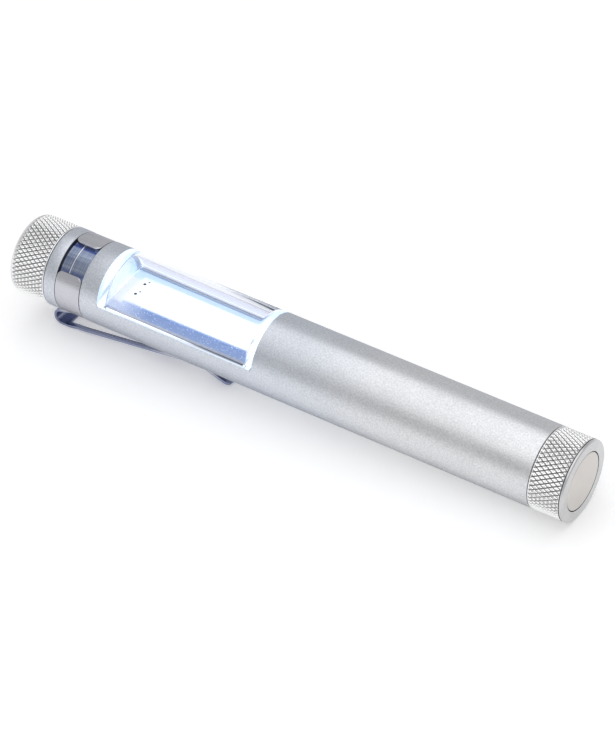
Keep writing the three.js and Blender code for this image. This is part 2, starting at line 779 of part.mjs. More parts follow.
const redStemEnd = stemLength - SEAT;
const blackStemEnd = trayLength - stemLength + SEAT;
const lightModule = group(
  trayRear,
  piece('positive_contact', contact(), brass(), positiveFace - trayRear),
  piece('light_tray', lightTray(), whitePlastic()),
  piece('cob_board', cobBoard(), finish(0xf1f3f7, 0.45, 0)),
  piece('cob_phosphor', cobPhosphor(), finish(0xfdfbe8, 0.6, 0)),
  piece('cob_pin_positive', cobPin(pinSides[0]), solder()),
  piece('cob_pin_negative', cobPin(pinSides[1]), solder()),
  piece('driver_board', driverBoard(), circuitBoard()),
  piece('driver_chip', driverPart(CHIP), blackEpoxy()),
  piece('driver_inductor', driverInductor(), blackEpoxy()),
  piece('driver_diode', driverPart(DIODE), blackEpoxy()),
  piece('driver_capacitor', driverPart(CAPACITOR), finish(0xb99a74, 0.5, 0)),
  piece('wire_red', wire(redStemEnd, inModule(driverRear)), finish(0xb3231f, 0.45, 0)),
  piece('wire_black', wire(blackStemEnd, inModule(driverFront)), finish(0x1a1a1c, 0.45, 0)),
  frontContact,
);

const head = group(
  headCapRear,
  piece('head_cap', headCap(), knurledAluminium()),
  piece('head_contact', headContact(), brass()),
);

const clip = group(
  grooveStart + GROOVE_WIDTH / 2,
  piece('clip_band', clipBand(), springSteel()),
  piece('clip_arm', clipArm(), springSteel()),
);

const flashlight = new THREE.Group();
flashlight.add(
  piece('barrel', barrel(), satinAluminium()),
  piece('window_lens', windowLens(), clearLens()),
  piece('battery_cell', batteryCell(), finish(0x2c4f8f, 0.35, 0.3), cellStart),
  tailEnd,
  lightModule,
  head,
  clip,
);

export default flashlight;
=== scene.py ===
"""Pen-size work light with a lit side window: its finished pieces, materials and stage.

Everything is in metres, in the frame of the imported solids. The axis is X, the tail's magnet face
is at x = 0, the head lies towards -X, the window faces +Z and the clip's arm lies below.
"""

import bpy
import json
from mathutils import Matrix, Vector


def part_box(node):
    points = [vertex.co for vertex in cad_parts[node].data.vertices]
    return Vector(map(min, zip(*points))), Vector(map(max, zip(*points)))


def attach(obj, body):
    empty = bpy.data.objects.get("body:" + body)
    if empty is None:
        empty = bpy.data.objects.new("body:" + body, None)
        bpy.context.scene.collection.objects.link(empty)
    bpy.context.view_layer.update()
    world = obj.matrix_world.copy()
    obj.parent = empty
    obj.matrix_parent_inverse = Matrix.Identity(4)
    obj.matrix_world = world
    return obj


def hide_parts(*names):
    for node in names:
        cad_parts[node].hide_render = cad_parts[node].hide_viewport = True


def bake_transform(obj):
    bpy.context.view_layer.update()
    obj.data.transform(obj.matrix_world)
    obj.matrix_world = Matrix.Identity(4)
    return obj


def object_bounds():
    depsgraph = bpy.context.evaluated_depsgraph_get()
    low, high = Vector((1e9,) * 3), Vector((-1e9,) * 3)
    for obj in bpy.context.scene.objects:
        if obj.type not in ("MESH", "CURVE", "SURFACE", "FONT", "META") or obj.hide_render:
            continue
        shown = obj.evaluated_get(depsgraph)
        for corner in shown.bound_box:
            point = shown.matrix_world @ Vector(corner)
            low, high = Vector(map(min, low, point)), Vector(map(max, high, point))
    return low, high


bl_info = {
    "name": "Pen Work Light",
    "version": (1, 0, 0),
    "blender": (4, 5, 0),
    "location": "View3D > Sidebar > Work Light",
    "description": "Builds the finished pieces, materials and stage of a pen-size work light",
    "category": "Object",
}

import json
import math

import bmesh
import bpy
from bpy.props import FloatProperty, FloatVectorProperty, IntProperty, PointerProperty
from mathutils import Matrix, Vector

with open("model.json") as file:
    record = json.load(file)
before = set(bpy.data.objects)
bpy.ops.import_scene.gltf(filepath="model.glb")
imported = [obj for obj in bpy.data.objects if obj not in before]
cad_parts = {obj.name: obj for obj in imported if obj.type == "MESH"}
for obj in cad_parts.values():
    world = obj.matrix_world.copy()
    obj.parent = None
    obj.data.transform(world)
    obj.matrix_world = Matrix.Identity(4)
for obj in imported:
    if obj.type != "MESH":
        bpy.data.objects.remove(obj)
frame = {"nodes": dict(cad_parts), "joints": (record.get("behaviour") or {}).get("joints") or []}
cad_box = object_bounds()

MM = 0.001
TINY = 1e-7


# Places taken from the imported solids

def joint_point(name):
    """The pivot of one of the record's joints."""
    joint = next(j for j in frame["joints"] if j["name"] == name)
    return Vector(joint["pos_m"])


TAIL_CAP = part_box("tail_cap")
HEAD_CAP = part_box("head_cap")
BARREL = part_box("barrel")
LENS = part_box("window_lens")
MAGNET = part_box("magnet")
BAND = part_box("clip_band")
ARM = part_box("clip_arm")
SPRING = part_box("tail_spring")
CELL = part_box("battery_cell")
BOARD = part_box("cob_board")
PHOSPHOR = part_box("cob_phosphor")
BODY_RADIUS = TAIL_CAP[1].z
GROOVE_CENTRE = joint_point("clip_swivel").x
BAND_HALF = BAND[1].x - GROOVE_CENTRE
BEND_POINT = joint_point("clip_flex")


# Settings that a user would change

def length(name, description, default):
    """A size in metres."""
    return FloatProperty(name=name, description=description, default=default, min=0,
                         unit="LENGTH", precision=5)


def angle(name, description, degrees):
    """An angle, given in degrees and kept in radians."""
    return FloatProperty(name=name, description=description, default=math.radians(degrees),
                         subtype="ANGLE")


def colour(name, description, default):
    """A linear colour."""
    return FloatVectorProperty(name=name, description=description, default=default,
                               subtype="COLOR", size=3, min=0, max=1)


class WorkLightTurning(bpy.types.PropertyGroup):
    """Sizes of the turned pieces."""
    seam: length("Seam", "Gap between a cap and the barrel's shoulder", 0.1 * MM)
    bore_radius: length("Bore radius", "Radius of the barrel's bore", 5.45 * MM)
    neck_radius: length("Neck radius", "Root radius of the threads on the necks", 6.0 * MM)
    skirt_radius: length("Skirt radius", "Inner radius of the caps' skirts", 6.3 * MM)
    groove_depth: length("Groove depth", "Depth of the clip's groove", 0.55 * MM)
    band_side_gap: length("Band side gap", "Room beside the clip's band in its groove", 0.1 * MM)
    edge_round: length("Edge round", "Radius of the broken edges", 0.12 * MM)
    thread_pitch: length("Thread pitch", "Advance of the threads in a turn", 0.75 * MM)
    thread_height: length("Thread height", "Height of the thread's ridge", 0.22 * MM)
    window_corner: length("Window corner", "Radius of the window's lower corners", 0.6 * MM)
    lens_fit: length("Lens fit", "Gap round the window's lens", 0.1 * MM)
    lens_wall: length("Lens wall", "Thickness of the lens", 1.1 * MM)
    lens_rear_wall: length("Lens rear wall", "Thickness of the lens's wall by the tail", 1.7 * MM)
    lens_front_wall: length("Lens front wall", "Thickness of the lens's wall by the head", 1.2 * MM)
    tail_floor: length("Tail floor", "Floor between the magnet and the spring", 1.0 * MM)
    head_floor: length("Head floor", "Thickness of the head cap's end", 2.6 * MM)
    head_round: length("Head round", "Radius of the head cap's rounded end", 1.3 * MM)
    stem_radius: length("Stem radius", "Radius of the contact's hole in the head cap", 1.05 * MM)
    stem_depth: length("Stem depth", "Depth of the contact's hole in the head cap", 1.65 * MM)


class WorkLightKnurl(bpy.types.PropertyGroup):
    """Diamond knurl of the two caps."""
    teeth: IntProperty(name="Teeth", description="Deep grooves of one slant round a cap",
                       default=54, min=3)
    pitch: length("Pitch", "Distance between deep grooves along the axis", 1.42 * MM)
    depth: length("Depth", "Depth of the deep grooves", 0.2 * MM)
    crest: FloatProperty(name="Crest", description="Share of a diamond that is left flat",
                         default=0.1, min=0, max=0.9, subtype="FACTOR")
    tail_margin: length("Tail margin", "Smooth land before the tail cap's face", 0.45 * MM)
    seam_margin: length("Seam margin", "Smooth land at a cap's seam", 0.12 * MM)
    fade: length("Fade", "Length over which the grooves run out", 0.12 * MM)


class WorkLightClip(bpy.types.PropertyGroup):
    """Sizes of the pocket clip, all along the middle of its sheet."""
    thickness: length("Thickness", "Thickness of the sheet", 0.45 * MM)
    edge: length("Edge", "Radius of the tumbled edges", 0.09 * MM)
    band_radius: length("Band radius", "Radius of the band", 6.725 * MM)
    band_corner: length("Band corner", "Corner radius of the band's ends", 1.0 * MM)
    near_wrap: angle("Near wrap", "Angle from the arm to the band's near end", 127.5)
    far_wrap: angle("Far wrap", "Angle from the arm to the band's far end", 184)
    arm_half: length("Arm half width", "Half the width of the arm", 2.5 * MM)
    slit: length("Slit", "Slit either side of the tongue's root", 0.12 * MM)
    notch: length("Notch", "Length of the slits in the band", 2.0 * MM)
    root_bend: length("Root bend", "Bend radius at the tongue's root", 0.7 * MM)
    leg_gap: length("Leg gap", "Room between the leg and the barrel's flange", 0.15 * MM)
    leg_fall: length("Leg fall", "Drop of the leg to the bend", 0.95 * MM)
    level: length("Level", "Length of the arm before it rises", 5.4 * MM)
    arm_bend: length("Arm bend", "Bend radius where the arm rises", 12 * MM)
    contact_reach: length("Contact reach", "Distance from the bend to the contact", 29.1 * MM)
    contact_gap: length("Contact gap", "Room between the contact and the barrel", 0.08 * MM)
    contact_bend: length("Contact bend", "Bend radius at the contact", 2 * MM)
    tip_lift: length("Tip lift", "Drop of the tip below the contact", 2 * MM)
    tip_corner: length("Tip corner", "Corner radius of the tip", 1 * MM)
    slot_inset: length("Slot inset", "Distance from the bend to the slot", 2.5 * MM)
    slot_length: length("Slot length", "Length of the slot", 17.5 * MM)
    slot_half: length("Slot half width", "Half the width of the slot", 1.5 * MM)


class WorkLightFinishes(bpy.types.PropertyGroup):
    """Colours of the finishes."""
    satin: colour("Satin aluminium", "Bead-blasted barrel", (0.70, 0.705, 0.715))
    # Painted light: the cooler tint of the strip's light cast on the barrel beside the window.
    satin_painted_cast: colour("Cool satin", "Barrel beside the lit window", (0.645, 0.675, 0.73))
    knurled: colour("Knurled aluminium", "Bright cut knurl of the caps", (0.96, 0.96, 0.96))
    turned: colour("Turned aluminium", "Smooth ends of the caps", (0.62, 0.62, 0.625))
    # The polished floor's colour is a painted dark blue reflection.
    polished: colour("Polished aluminium", "Turned floor of the groove", (0.28, 0.34, 0.43))
    # Painted reflection: bright turned lines in the groove.
    groove_painted_shine: colour("Groove shine", "Bright turned lines in the groove", (0.75, 0.83, 0.9))
    # Painted reflection: blue streaks in the groove.
    groove_painted_blue_reflection: colour("Groove blue", "Blued streaks in the groove", (0.05, 0.08, 0.28))
    # Painted highlight: a bright line round the groove.
    groove_painted_highlight: colour("Groove line", "Bright line round the groove", (0.9, 0.92, 0.95))
    # Painted shade in the groove's side walls.
    groove_wall_painted_shade: colour("Groove wall", "Dark side walls of the groove", (0.03, 0.03, 0.035))
    # Painted shade in the magnet's gap and in the cut line before the rim.
    gap: colour("Gap", "Dark gap round the magnet and before the rim", (0.05, 0.05, 0.055))
    nickel: colour("Nickel", "Plate on the magnet", (0.62, 0.59, 0.56))
    clip: colour("Clip steel", "Plated spring steel of the clip", (0.60, 0.60, 0.64))
    # Painted shade: the darker, bluer colour of the arm below the band.
    clip_arm: colour("Clip arm", "Tempered steel of the arm", (0.27, 0.30, 0.43))
    wire: colour("Spring wire", "Drawn wire of the tail spring", (0.55, 0.55, 0.57))
    brass: colour("Brass", "Contacts", (0.72, 0.52, 0.20))
    solder: colour("Solder", "Pins of the strip", (0.07, 0.10, 0.11))
    sleeve: colour("Cell sleeve", "Printed sleeve of the cell", (0.06, 0.14, 0.36))
    sleeve_band: colour("Sleeve band", "Printed band of the sleeve", (0.55, 0.56, 0.58))
    tray: colour("Tray", "Moulded carrier", (0.80, 0.83, 0.90))
    substrate: colour("Substrate", "White mask of the strip's board", (0.90, 0.92, 0.95))
    gel: colour("Gel", "Phosphor gel", (0.95, 0.94, 0.80))
    glow: colour("Glow", "Light of the strip", (1.0, 0.99, 0.95))
    # Painted light on the board and tray beside the strip.
    spill: colour("Spill", "Blue light beside the strip", (0.25, 0.35, 0.55))
    speck: colour("Speck", "Bright specks in the blue margin", (0.75, 0.85, 1.0))
    back_margin: colour("Back margin", "Pale light behind the strip", (0.68, 0.84, 0.97))
    board: colour("Board", "Solder mask of the driver board", (0.03, 0.14, 0.06))
    epoxy: colour("Epoxy", "Moulded parts of the driver", (0.015, 0.015, 0.017))
    ceramic: colour("Ceramic", "Body of the capacitor", (0.42, 0.28, 0.15))
    red_wire: colour("Red wire", "Red insulation", (0.45, 0.02, 0.015))
    black_wire: colour("Black wire", "Black insulation", (0.012, 0.012, 0.013))
    lens: colour("Lens", "Tint of the acrylic", (0.90, 0.92, 1.0))
    rim: colour("Rim", "Cold light at the edge of the acrylic", (0.66, 0.82, 1.0))
    floor: colour("Floor", "Pale floor", (0.93, 0.93, 0.93))


# Node helpers

def put(tree, kind, settings=None, **inputs):
    """A new node, with its settings and with its inputs set to values or linked to sockets."""
    node = tree.nodes.new(kind)
    for name, value in (settings or {}).items():
        setattr(node, name, value)
    for name, value in inputs.items():
        key = int(name[1:]) if name[0] == "_" else name.replace("_", " ")
        if isinstance(value, bpy.types.NodeSocket):
            tree.links.new(value, node.inputs[key])
        else:
            node.inputs[key].default_value = value
    return node


def calc(tree, operation, *values, clamp=False):
    """A math node's result."""
    inputs = {f"_{i}": value for i, value in enumerate(values)}
    settings = {"operation": operation, "use_clamp": clamp}
    return put(tree, "ShaderNodeMath", settings, **inputs).outputs[0]


def ramp(tree, value, low, high, to_low=0.0, to_high=1.0, smooth=False):
    """A value mapped from one range to another, and held at the ends."""
    settings = {"interpolation_type": "SMOOTHSTEP" if smooth else "LINEAR", "clamp": True}
    return put(tree, "ShaderNodeMapRange", settings, _0=value, _1=low, _2=high,
               _3=to_low, _4=to_high).outputs[0]


def blend_colours(tree, factor, first, second):
    """Two colours mixed by a factor, each a socket or three channels."""
    first, second = (each if isinstance(each, bpy.types.NodeSocket) else (*each, 1.0)
                     for each in (first, second))
    node = put(tree, "ShaderNodeMix", {"data_type": "RGBA"}, _0=factor, _6=first, _7=second)
    return node.outputs[2]


def off_axis(tree, axes):
    """The way from the X axis straight out to a place, and its length."""
    way = put(tree, "ShaderNodeCombineXYZ", Y=axes["Y"], Z=axes["Z"]).outputs[0]
    measured = put(tree, "ShaderNodeVectorMath", {"operation": "LENGTH"}, _0=way)
    return way, measured.outputs["Value"]


def new_group(name, kind, inputs, outputs):
    """An empty node group with its sockets, and its input and output nodes."""
    tree = bpy.data.node_groups.new(name, kind)
    for in_out, sockets in (("INPUT", inputs), ("OUTPUT", outputs)):
        for label, socket_type, default in sockets:
            socket = tree.interface.new_socket(label, in_out=in_out, socket_type=socket_type)
            if default is not None:
                socket.default_value = default
    return tree, put(tree, "NodeGroupInput"), put(tree, "NodeGroupOutput")


FLOAT = "NodeSocketFloat"
VECTOR = "NodeSocketVector"
GEOMETRY = "NodeSocketGeometry"
MATERIAL = "NodeSocketMaterial"
GROOVE_ATTRIBUTE = "groove"


# Shader groups for effects that several finishes share

def grain_group():
    """Even grain, as of a blasted or moulded surface."""
    tree, given, result = new_group(
        "Grain", "ShaderNodeTree",
        [("Vector", VECTOR, None), ("Grain Size", FLOAT, 0.15 * MM)],
        [("Height", FLOAT, None), ("Tone", FLOAT, None)])
    scale = calc(tree, "DIVIDE", 1.0, given.outputs["Grain Size"])
    noise = put(tree, "ShaderNodeTexNoise", Vector=given.outputs["Vector"], Scale=scale, Detail=2.0)
    fac = noise.outputs["Fac"]
    tree.links.new(fac, result.inputs["Height"])
    tree.links.new(ramp(tree, fac, 0.35, 0.65), result.inputs["Tone"])
    return tree


def lathe_group():
    """Fine lines left by a turning tool, by a distance along or from the axis."""
    tree, given, result = new_group(
        "Lathe Lines", "ShaderNodeTree",
        [("Distance", FLOAT, None), ("Spacing", FLOAT, 0.06 * MM)],
        [("Height", FLOAT, None)])
    steps = calc(tree, "DIVIDE", given.outputs["Distance"], given.outputs["Spacing"])
    noise = put(tree, "ShaderNodeTexNoise", {"noise_dimensions": "1D"},
                W=steps, Scale=1.0, Detail=3.0)
    tree.links.new(noise.outputs["Fac"], result.inputs["Height"])
    return tree


def streak_group():
    """Fine scratches along one direction, as on drawn or brushed metal."""
    tree, given, result = new_group(
        "Streaks", "ShaderNodeTree",
        [("Vector", VECTOR, None), ("Length", FLOAT, 4 * MM), ("Width", FLOAT, 0.05 * MM)],
        [("Height", FLOAT, None), ("Tone", FLOAT, None)])
    along = calc(tree, "DIVIDE", 1.0, given.outputs["Length"])
    across = calc(tree, "DIVIDE", 1.0, given.outputs["Width"])
    scale = put(tree, "ShaderNodeCombineXYZ", X=along, Y=across, Z=across).outputs[0]
    vector = put(tree, "ShaderNodeVectorMath", {"operation": "MULTIPLY"},
                 _0=given.outputs["Vector"], _1=scale).outputs[0]
    noise = put(tree, "ShaderNodeTexNoise", Vector=vector, Scale=1.0, Detail=2.0)
    fac = noise.outputs["Fac"]
    tree.links.new(fac, result.inputs["Height"])
    tree.links.new(ramp(tree, fac, 0.3, 0.7), result.inputs["Tone"])
    return tree


def handling_group():
    """Broad soft patches where a surface has been touched and wiped."""
    tree, given, result = new_group(
        "Handling", "ShaderNodeTree",
        [("Vector", VECTOR, None), ("Patch Size", FLOAT, 6 * MM)],
        [("Patches", FLOAT, None)])
    scale = calc(tree, "DIVIDE", 1.0, given.outputs["Patch Size"])
    noise = put(tree, "ShaderNodeTexNoise", Vector=given.outputs["Vector"], Scale=scale, Detail=3.0)
    patches = ramp(tree, noise.outputs["Fac"], 0.35, 0.65, smooth=True)
    tree.links.new(patches, result.inputs["Patches"])
    return tree


SHARED_GROUPS = {
    "Grain": grain_group,
    "Lathe Lines": lathe_group,
    "Streaks": streak_group,
    "Handling": handling_group,
}


# Materials

class Finish:
    """A new material with its shader, and the links that most finishes need."""

    def __init__(self, name, base, **sockets):
        self.material = bpy.data.materials.new(name)
        self.material.use_nodes = True
        self.tree = self.material.node_tree
        self.shader = self.tree.nodes["Principled BSDF"]
        self.shader.inputs["Base Color"].default_value = (*base, 1.0)
        for socket, value in sockets.items():
            self.shader.inputs[socket.replace("_", " ")].default_value = value
        self.base = tuple(base)
        coordinate = put(self.tree, "ShaderNodeTexCoord")
        self.place = coordinate.outputs["Object"]

    def axes(self):
        """The place's X, Y and Z."""
        return put(self.tree, "ShaderNodeSeparateXYZ", Vector=self.place).outputs

    def radius(self):
        """The place's distance from the X axis."""
        return off_axis(self.tree, self.axes())[1]

    def link(self, output, socket):
        """Leads a node's output to the shader."""
        self.tree.links.new(output, self.shader.inputs[socket])

    def effect(self, name, **inputs):
        """The outputs of a shared group placed in this material. It is built at its first use."""
        group = bpy.data.node_groups.get(name) or SHARED_GROUPS[name]()
        return put(self.tree, "ShaderNodeGroup", {"node_tree": group}, **inputs).outputs

    def grain(self, size):
        """Even grain over the whole piece."""
        return self.effect("Grain", Vector=self.place, Grain_Size=size)

    def streaks(self, along, across):
        """Scratches along X over the whole piece."""
        return self.effect("Streaks", Vector=self.place, Length=along, Width=across)

    def patches(self, size):
        """Broad soft patches over the whole piece."""
        return self.effect("Handling", Vector=self.place, Patch_Size=size)["Patches"]

    def shade(self, factor, start, end):
        """Base colour between two shares of the finish's own colour."""
        first = [channel * start for channel in self.base]
        second = [min(channel * end, 1.0) for channel in self.base]
        self.link(blend_colours(self.tree, factor, first, second), "Base Color")

    def rough(self, factor, start, end):
        """Roughness between two values."""
        self.link(ramp(self.tree, factor, 0.0, 1.0, start, end), "Roughness")

    def bump(self, height, strength, distance):
        """Fine relief that is too small for the mesh."""
        node = put(self.tree, "ShaderNodeBump", Height=height, Strength=strength, Distance=distance)
        self.link(node.outputs["Normal"], "Normal")


def satin_aluminium(colours):
    """Bead-blasted barrel, colder in tint towards the lit window as a painted cast of the strip's
    light.
    """
    finish = Finish("satin_aluminium", colours.satin, Metallic=1.0,
                    Specular_Tint=(0.48, 0.49, 0.51, 1.0))
    grain = finish.grain(0.26 * MM)
    # Painted light: a cool cast of the strip's light that grows towards the window.
    painted_cast_reach = 30 * MM
    painted_cast = ramp(finish.tree, finish.axes()["X"], LENS[1].x + painted_cast_reach, LENS[1].x, smooth=True)
    tones = []
    for share in (0.9, 1.1):
        plain, painted_cool = ([channel * share for channel in tint]
                       for tint in (colours.satin, colours.satin_painted_cast))
        tones.append(blend_colours(finish.tree, painted_cast, plain, painted_cool))
    finish.link(blend_colours(finish.tree, grain["Tone"], *tones), "Base Color")
    finish.rough(finish.patches(9 * MM), 0.35, 0.41)
    finish.bump(grain["Height"], strength=0.6, distance=0.04 * MM)
    return finish.material


def knurled_aluminium(colours):
    """Bright cut diamonds, with painted shade towards the bottoms of their grooves."""
    finish = Finish("knurled_aluminium", colours.knurled, Metallic=1.0,
                    Specular_Tint=(0.45, 0.45, 0.45, 1.0))
    attribute = put(finish.tree, "ShaderNodeAttribute", {"attribute_name": GROOVE_ATTRIBUTE})
    groove = attribute.outputs["Fac"]
    # Painted shade: the colour darkens with the depth of the groove.
    finish.shade(ramp(finish.tree, groove, 0.4, 0.9), 1.0, 0.18)
    finish.rough(groove, 0.22, 0.3)
    finish.bump(finish.grain(0.08 * MM)["Height"], strength=0.2, distance=0.012 * MM)
    return finish.material


def turned_aluminium(colours):
    """Smooth ends of the caps, with lines round the axis."""
    finish = Finish("turned_aluminium", colours.turned, Metallic=1.0)
    lines = finish.effect("Lathe Lines", Distance=finish.radius(), Spacing=0.05 * MM)["Height"]
    finish.shade(finish.patches(4 * MM), 0.93, 1.0)
    finish.rough(lines, 0.26, 0.42)
    finish.bump(lines, strength=0.25, distance=0.01 * MM)
    return finish.material


def polished_groove(colours):
    """Polished floor of the groove, in painted dark blue reflections with painted bright turned
    lines, painted blue reflection streaks and one painted highlight line round it.
    """
    # Painted reflection: the dark blue base stands for dark surroundings seen in the polished
    # floor.
    finish = Finish("polished_groove", colours.polished, Metallic=1.0)
    tree = finish.tree
    x = finish.axes()["X"]
    lines = finish.effect("Lathe Lines", Distance=x, Spacing=0.12 * MM)["Height"]
    # Painted reflection: the turned lines are made bright along their ridges.
    shine = ramp(tree, lines, 0.35, 0.65)
    bright = blend_colours(tree, shine, colours.polished, colours.groove_painted_shine)
    # Painted reflection: blue streaks along the groove.
    streaks = finish.streaks(30 * MM, 1.6 * MM)["Tone"]
    painted_blue_reflections = blend_colours(tree, streaks, colours.groove_painted_blue_reflection, bright)
    # Painted highlight: one bright line round the groove.
    highlight_place = GROOVE_CENTRE - 0.5 * MM
    from_highlight = calc(tree, "ABSOLUTE", calc(tree, "SUBTRACT", x, highlight_place))
    on_painted_highlight = ramp(tree, from_highlight, 0.05 * MM, 0.12 * MM, 1.0, 0.0)
    finish.link(blend_colours(tree, on_painted_highlight, painted_blue_reflections, colours.groove_painted_highlight), "Base Color")
    finish.rough(lines, 0.1, 0.2)
    finish.bump(lines, strength=0.3, distance=0.006 * MM)
    return finish.material


def nickel_magnet(colours):
    """Dull plate with a fine grain."""
    finish = Finish("nickel_magnet", colours.nickel, Metallic=1.0)
    patches = finish.patches(3 * MM)
    finish.shade(patches, 0.96, 1.03)
    finish.rough(patches, 0.30, 0.40)
    finish.bump(finish.grain(0.12 * MM)["Height"], strength=0.12, distance=0.01 * MM)
    return finish.material


def clip_steel(colours):
    """Plated spring steel, bright on the band, with painted shade that makes the arm below it
    darker and bluer.
    """
    finish = Finish("clip_steel", colours.clip, Metallic=1.0,
                    Specular_Tint=(0.5, 0.5, 0.52, 1.0))
    tree = finish.tree
    streaks = finish.streaks(3 * MM, 0.06 * MM)
    tone = ramp(tree, finish.patches(5 * MM), 0.0, 1.0, 0.92, 1.0)
    # Painted shade: below the band the colour turns to the darker, bluer arm colour. The random
    # patches mix a little of it into the band.
    on_band = ramp(tree, finish.axes()["Z"], -BODY_RADIUS - 1.4 * MM, -BODY_RADIUS - 0.2 * MM,
                   smooth=True)
    share = calc(tree, "MULTIPLY", tone, on_band)
    finish.link(blend_colours(tree, share, colours.clip_arm, colours.clip), "Base Color")
    finish.rough(streaks["Tone"], 0.22, 0.3)
    finish.bump(streaks["Height"], strength=0.12, distance=0.006 * MM)
    return finish.material


def drawn_metal(name, base, smoothest, roughest):
    """Drawn or stamped metal of the hidden contacts, pins and spring."""
    finish = Finish(name, base, Metallic=1.0)
    streaks = finish.streaks(2 * MM, 0.07 * MM)
    finish.shade(finish.patches(2 * MM), 0.88, 1.06)
    finish.rough(streaks["Tone"], smoothest, roughest)
    finish.bump(streaks["Height"], strength=0.15, distance=0.008 * MM)
    return finish.material


def moulded(name, base, smoothest, roughest, **sockets):
    """Moulded plastic, epoxy, ceramic or solder mask, with a fine even grain."""
    finish = Finish(name, base, **sockets)
    grain = finish.grain(0.1 * MM)
    finish.shade(finish.patches(2.5 * MM), 0.92, 1.04)
    finish.rough(grain["Tone"], smoothest, roughest)
    finish.bump(grain["Height"], strength=0.15, distance=0.01 * MM)
    return finish


def lit_surface(name, base, colours, near, far, strength, vias=()):
    """White surface beside the strip, with dark vias, that glows faintly with painted light.

    From a near to a far distance off its middle line, its front side carries painted blue light
    with bright specks, and its back side painted pale light.
    """
    # Painted light: the surface glows at this strength though it is no lamp.
    finish = moulded(name, base, 0.35, 0.5, Emission_Strength=strength)
    tree = finish.tree
    axes = finish.axes()
    along = ramp(tree, axes["X"], LENS[0].x + 2.5 * MM, LENS[0].x + 8 * MM, 0.45, 1.0)
    blue = calc(tree, "MULTIPLY", ramp(tree, axes["Y"], -near, -far, smooth=True), along)
    pale = ramp(tree, axes["Y"], near, far, smooth=True)
    specks = ramp(tree, finish.grain(0.3 * MM)["Height"], 0.61, 0.7)
    washed = blend_colours(tree, specks, colours.spill, colours.speck)
    # Painted blue and pale light from the strip, in both the colour and the glow.
    for socket, plain in (("Base Color", base), ("Emission Color", colours.glow)):
        back_side = blend_colours(tree, pale, plain, colours.back_margin)
        shown = blend_colours(tree, blue, back_side, washed)
        for spot in vias:
            away = put(tree, "ShaderNodeVectorMath", {"operation": "DISTANCE"},
                       _0=finish.place, _1=spot).outputs["Value"]
            dot = ramp(tree, away, 0.15 * MM, 0.2 * MM, 1.0, 0.0)
            shown = blend_colours(tree, dot, shown, colours.solder)
        finish.link(shown, socket)
    return finish.material


def strip_phosphor(colours):
    """Phosphor gel, lit by the row of chips under it."""
    finish = moulded("strip_phosphor", colours.gel, 0.3, 0.45, Emission_Strength=2.2)
    warm = [channel * share for channel, share in zip(colours.glow, (1.0, 0.98, 0.94))]
    tone = finish.grain(0.3 * MM)["Tone"]
    finish.link(blend_colours(finish.tree, tone, warm, colours.glow), "Emission Color")
    return finish.material


def clear_lens(colours):
    """Clear acrylic with fine ripples, whose edges and front wall glow with painted light from the
    strip.
    """
    # Painted light: the whole lens glows faintly, and its edges and front wall glow brighter.
    finish = Finish("clear_lens", colours.lens, IOR=1.3, Transmission_Weight=1.0,
                    Emission_Strength=0.6)
    tree = finish.tree
    axes = finish.axes()
    front, rear, sill = LENS[0].x, LENS[1].x, LENS[0].z
    rear_edge = ramp(tree, axes["X"], rear - 1.5 * MM, rear - 0.7 * MM, smooth=True)
    front_edge = ramp(tree, axes["X"], front + 0.3 * MM, front + 1.4 * MM, 0.9, 0.0, smooth=True)
    sill_edge = ramp(tree, axes["Z"], sill + 0.1 * MM, sill + 0.4 * MM, 0.6, 0.0, smooth=True)
    ends = calc(tree, "MAXIMUM", rear_edge, front_edge)
    edges = calc(tree, "MAXIMUM", ends, sill_edge)
    outside = ramp(tree, finish.radius(), BODY_RADIUS - 0.35 * MM, BODY_RADIUS - 0.1 * MM)
    front_wall = ramp(tree, axes["X"], front + 1.1 * MM, front + 1.4 * MM, 0.2, 0.0)
    rim = calc(tree, "MAXIMUM", calc(tree, "MULTIPLY", edges, outside), front_wall)
    faint = [channel * 0.02 for channel in colours.rim]
    finish.link(blend_colours(tree, rim, faint, colours.rim), "Emission Color")
    finish.rough(rim, 0.03, 0.4)
    finish.bump(finish.patches(3 * MM), strength=0.05, distance=0.02 * MM)
    return finish.material


def cell_sleeve(colours):
    """Printed sleeve with a paler band, and bare metal at the cell's two ends."""
    finish = Finish("cell_sleeve", colours.sleeve)
    tree = finish.tree
    middle = (CELL[0].x + CELL[1].x) / 2
    half = (CELL[1].x - CELL[0].x) / 2
    from_middle = calc(tree, "SUBTRACT", finish.axes()["X"], middle)
    bare = ramp(tree, calc(tree, "ABSOLUTE", from_middle), half - 2.2 * MM, half - 2.1 * MM)
    band = ramp(tree, from_middle, half - 12 * MM, half - 11.9 * MM)
    sleeve = blend_colours(tree, band, colours.sleeve, colours.sleeve_band)
    finish.link(blend_colours(tree, bare, sleeve, colours.wire), "Base Color")
    finish.link(bare, "Metallic")
    finish.rough(finish.patches(5 * MM), 0.25, 0.36)
    return finish.material


# Mesh helpers

NO_TURN = 1e-4


def rounded(corners, step=math.radians(10)):
    """Points along (a, b, radius) corners, each corner turned by an arc of its radius."""
    spots = [Vector(corner[:2]) for corner in corners]
    path = [spots[0]]
    for i in range(1, len(spots) - 1):
        radius = corners[i][2] if len(corners[i]) > 2 else 0
        before = (spots[i] - spots[i - 1]).normalized()
        after = (spots[i + 1] - spots[i]).normalized()
        turn = math.atan2(before.cross(after), before.dot(after))
        if not radius or abs(turn) < NO_TURN:
            path.append(spots[i])
            continue
        start = spots[i] - before * radius * math.tan(abs(turn) / 2)
        centre = start + Vector((-before.y, before.x)) * math.copysign(radius, turn)
        steps = max(2, math.ceil(abs(turn) / step))
        for k in range(steps + 1):
            path.append(centre + Matrix.Rotation(turn * k / steps, 2) @ (start - centre))
    path.append(spots[-1])
    return path


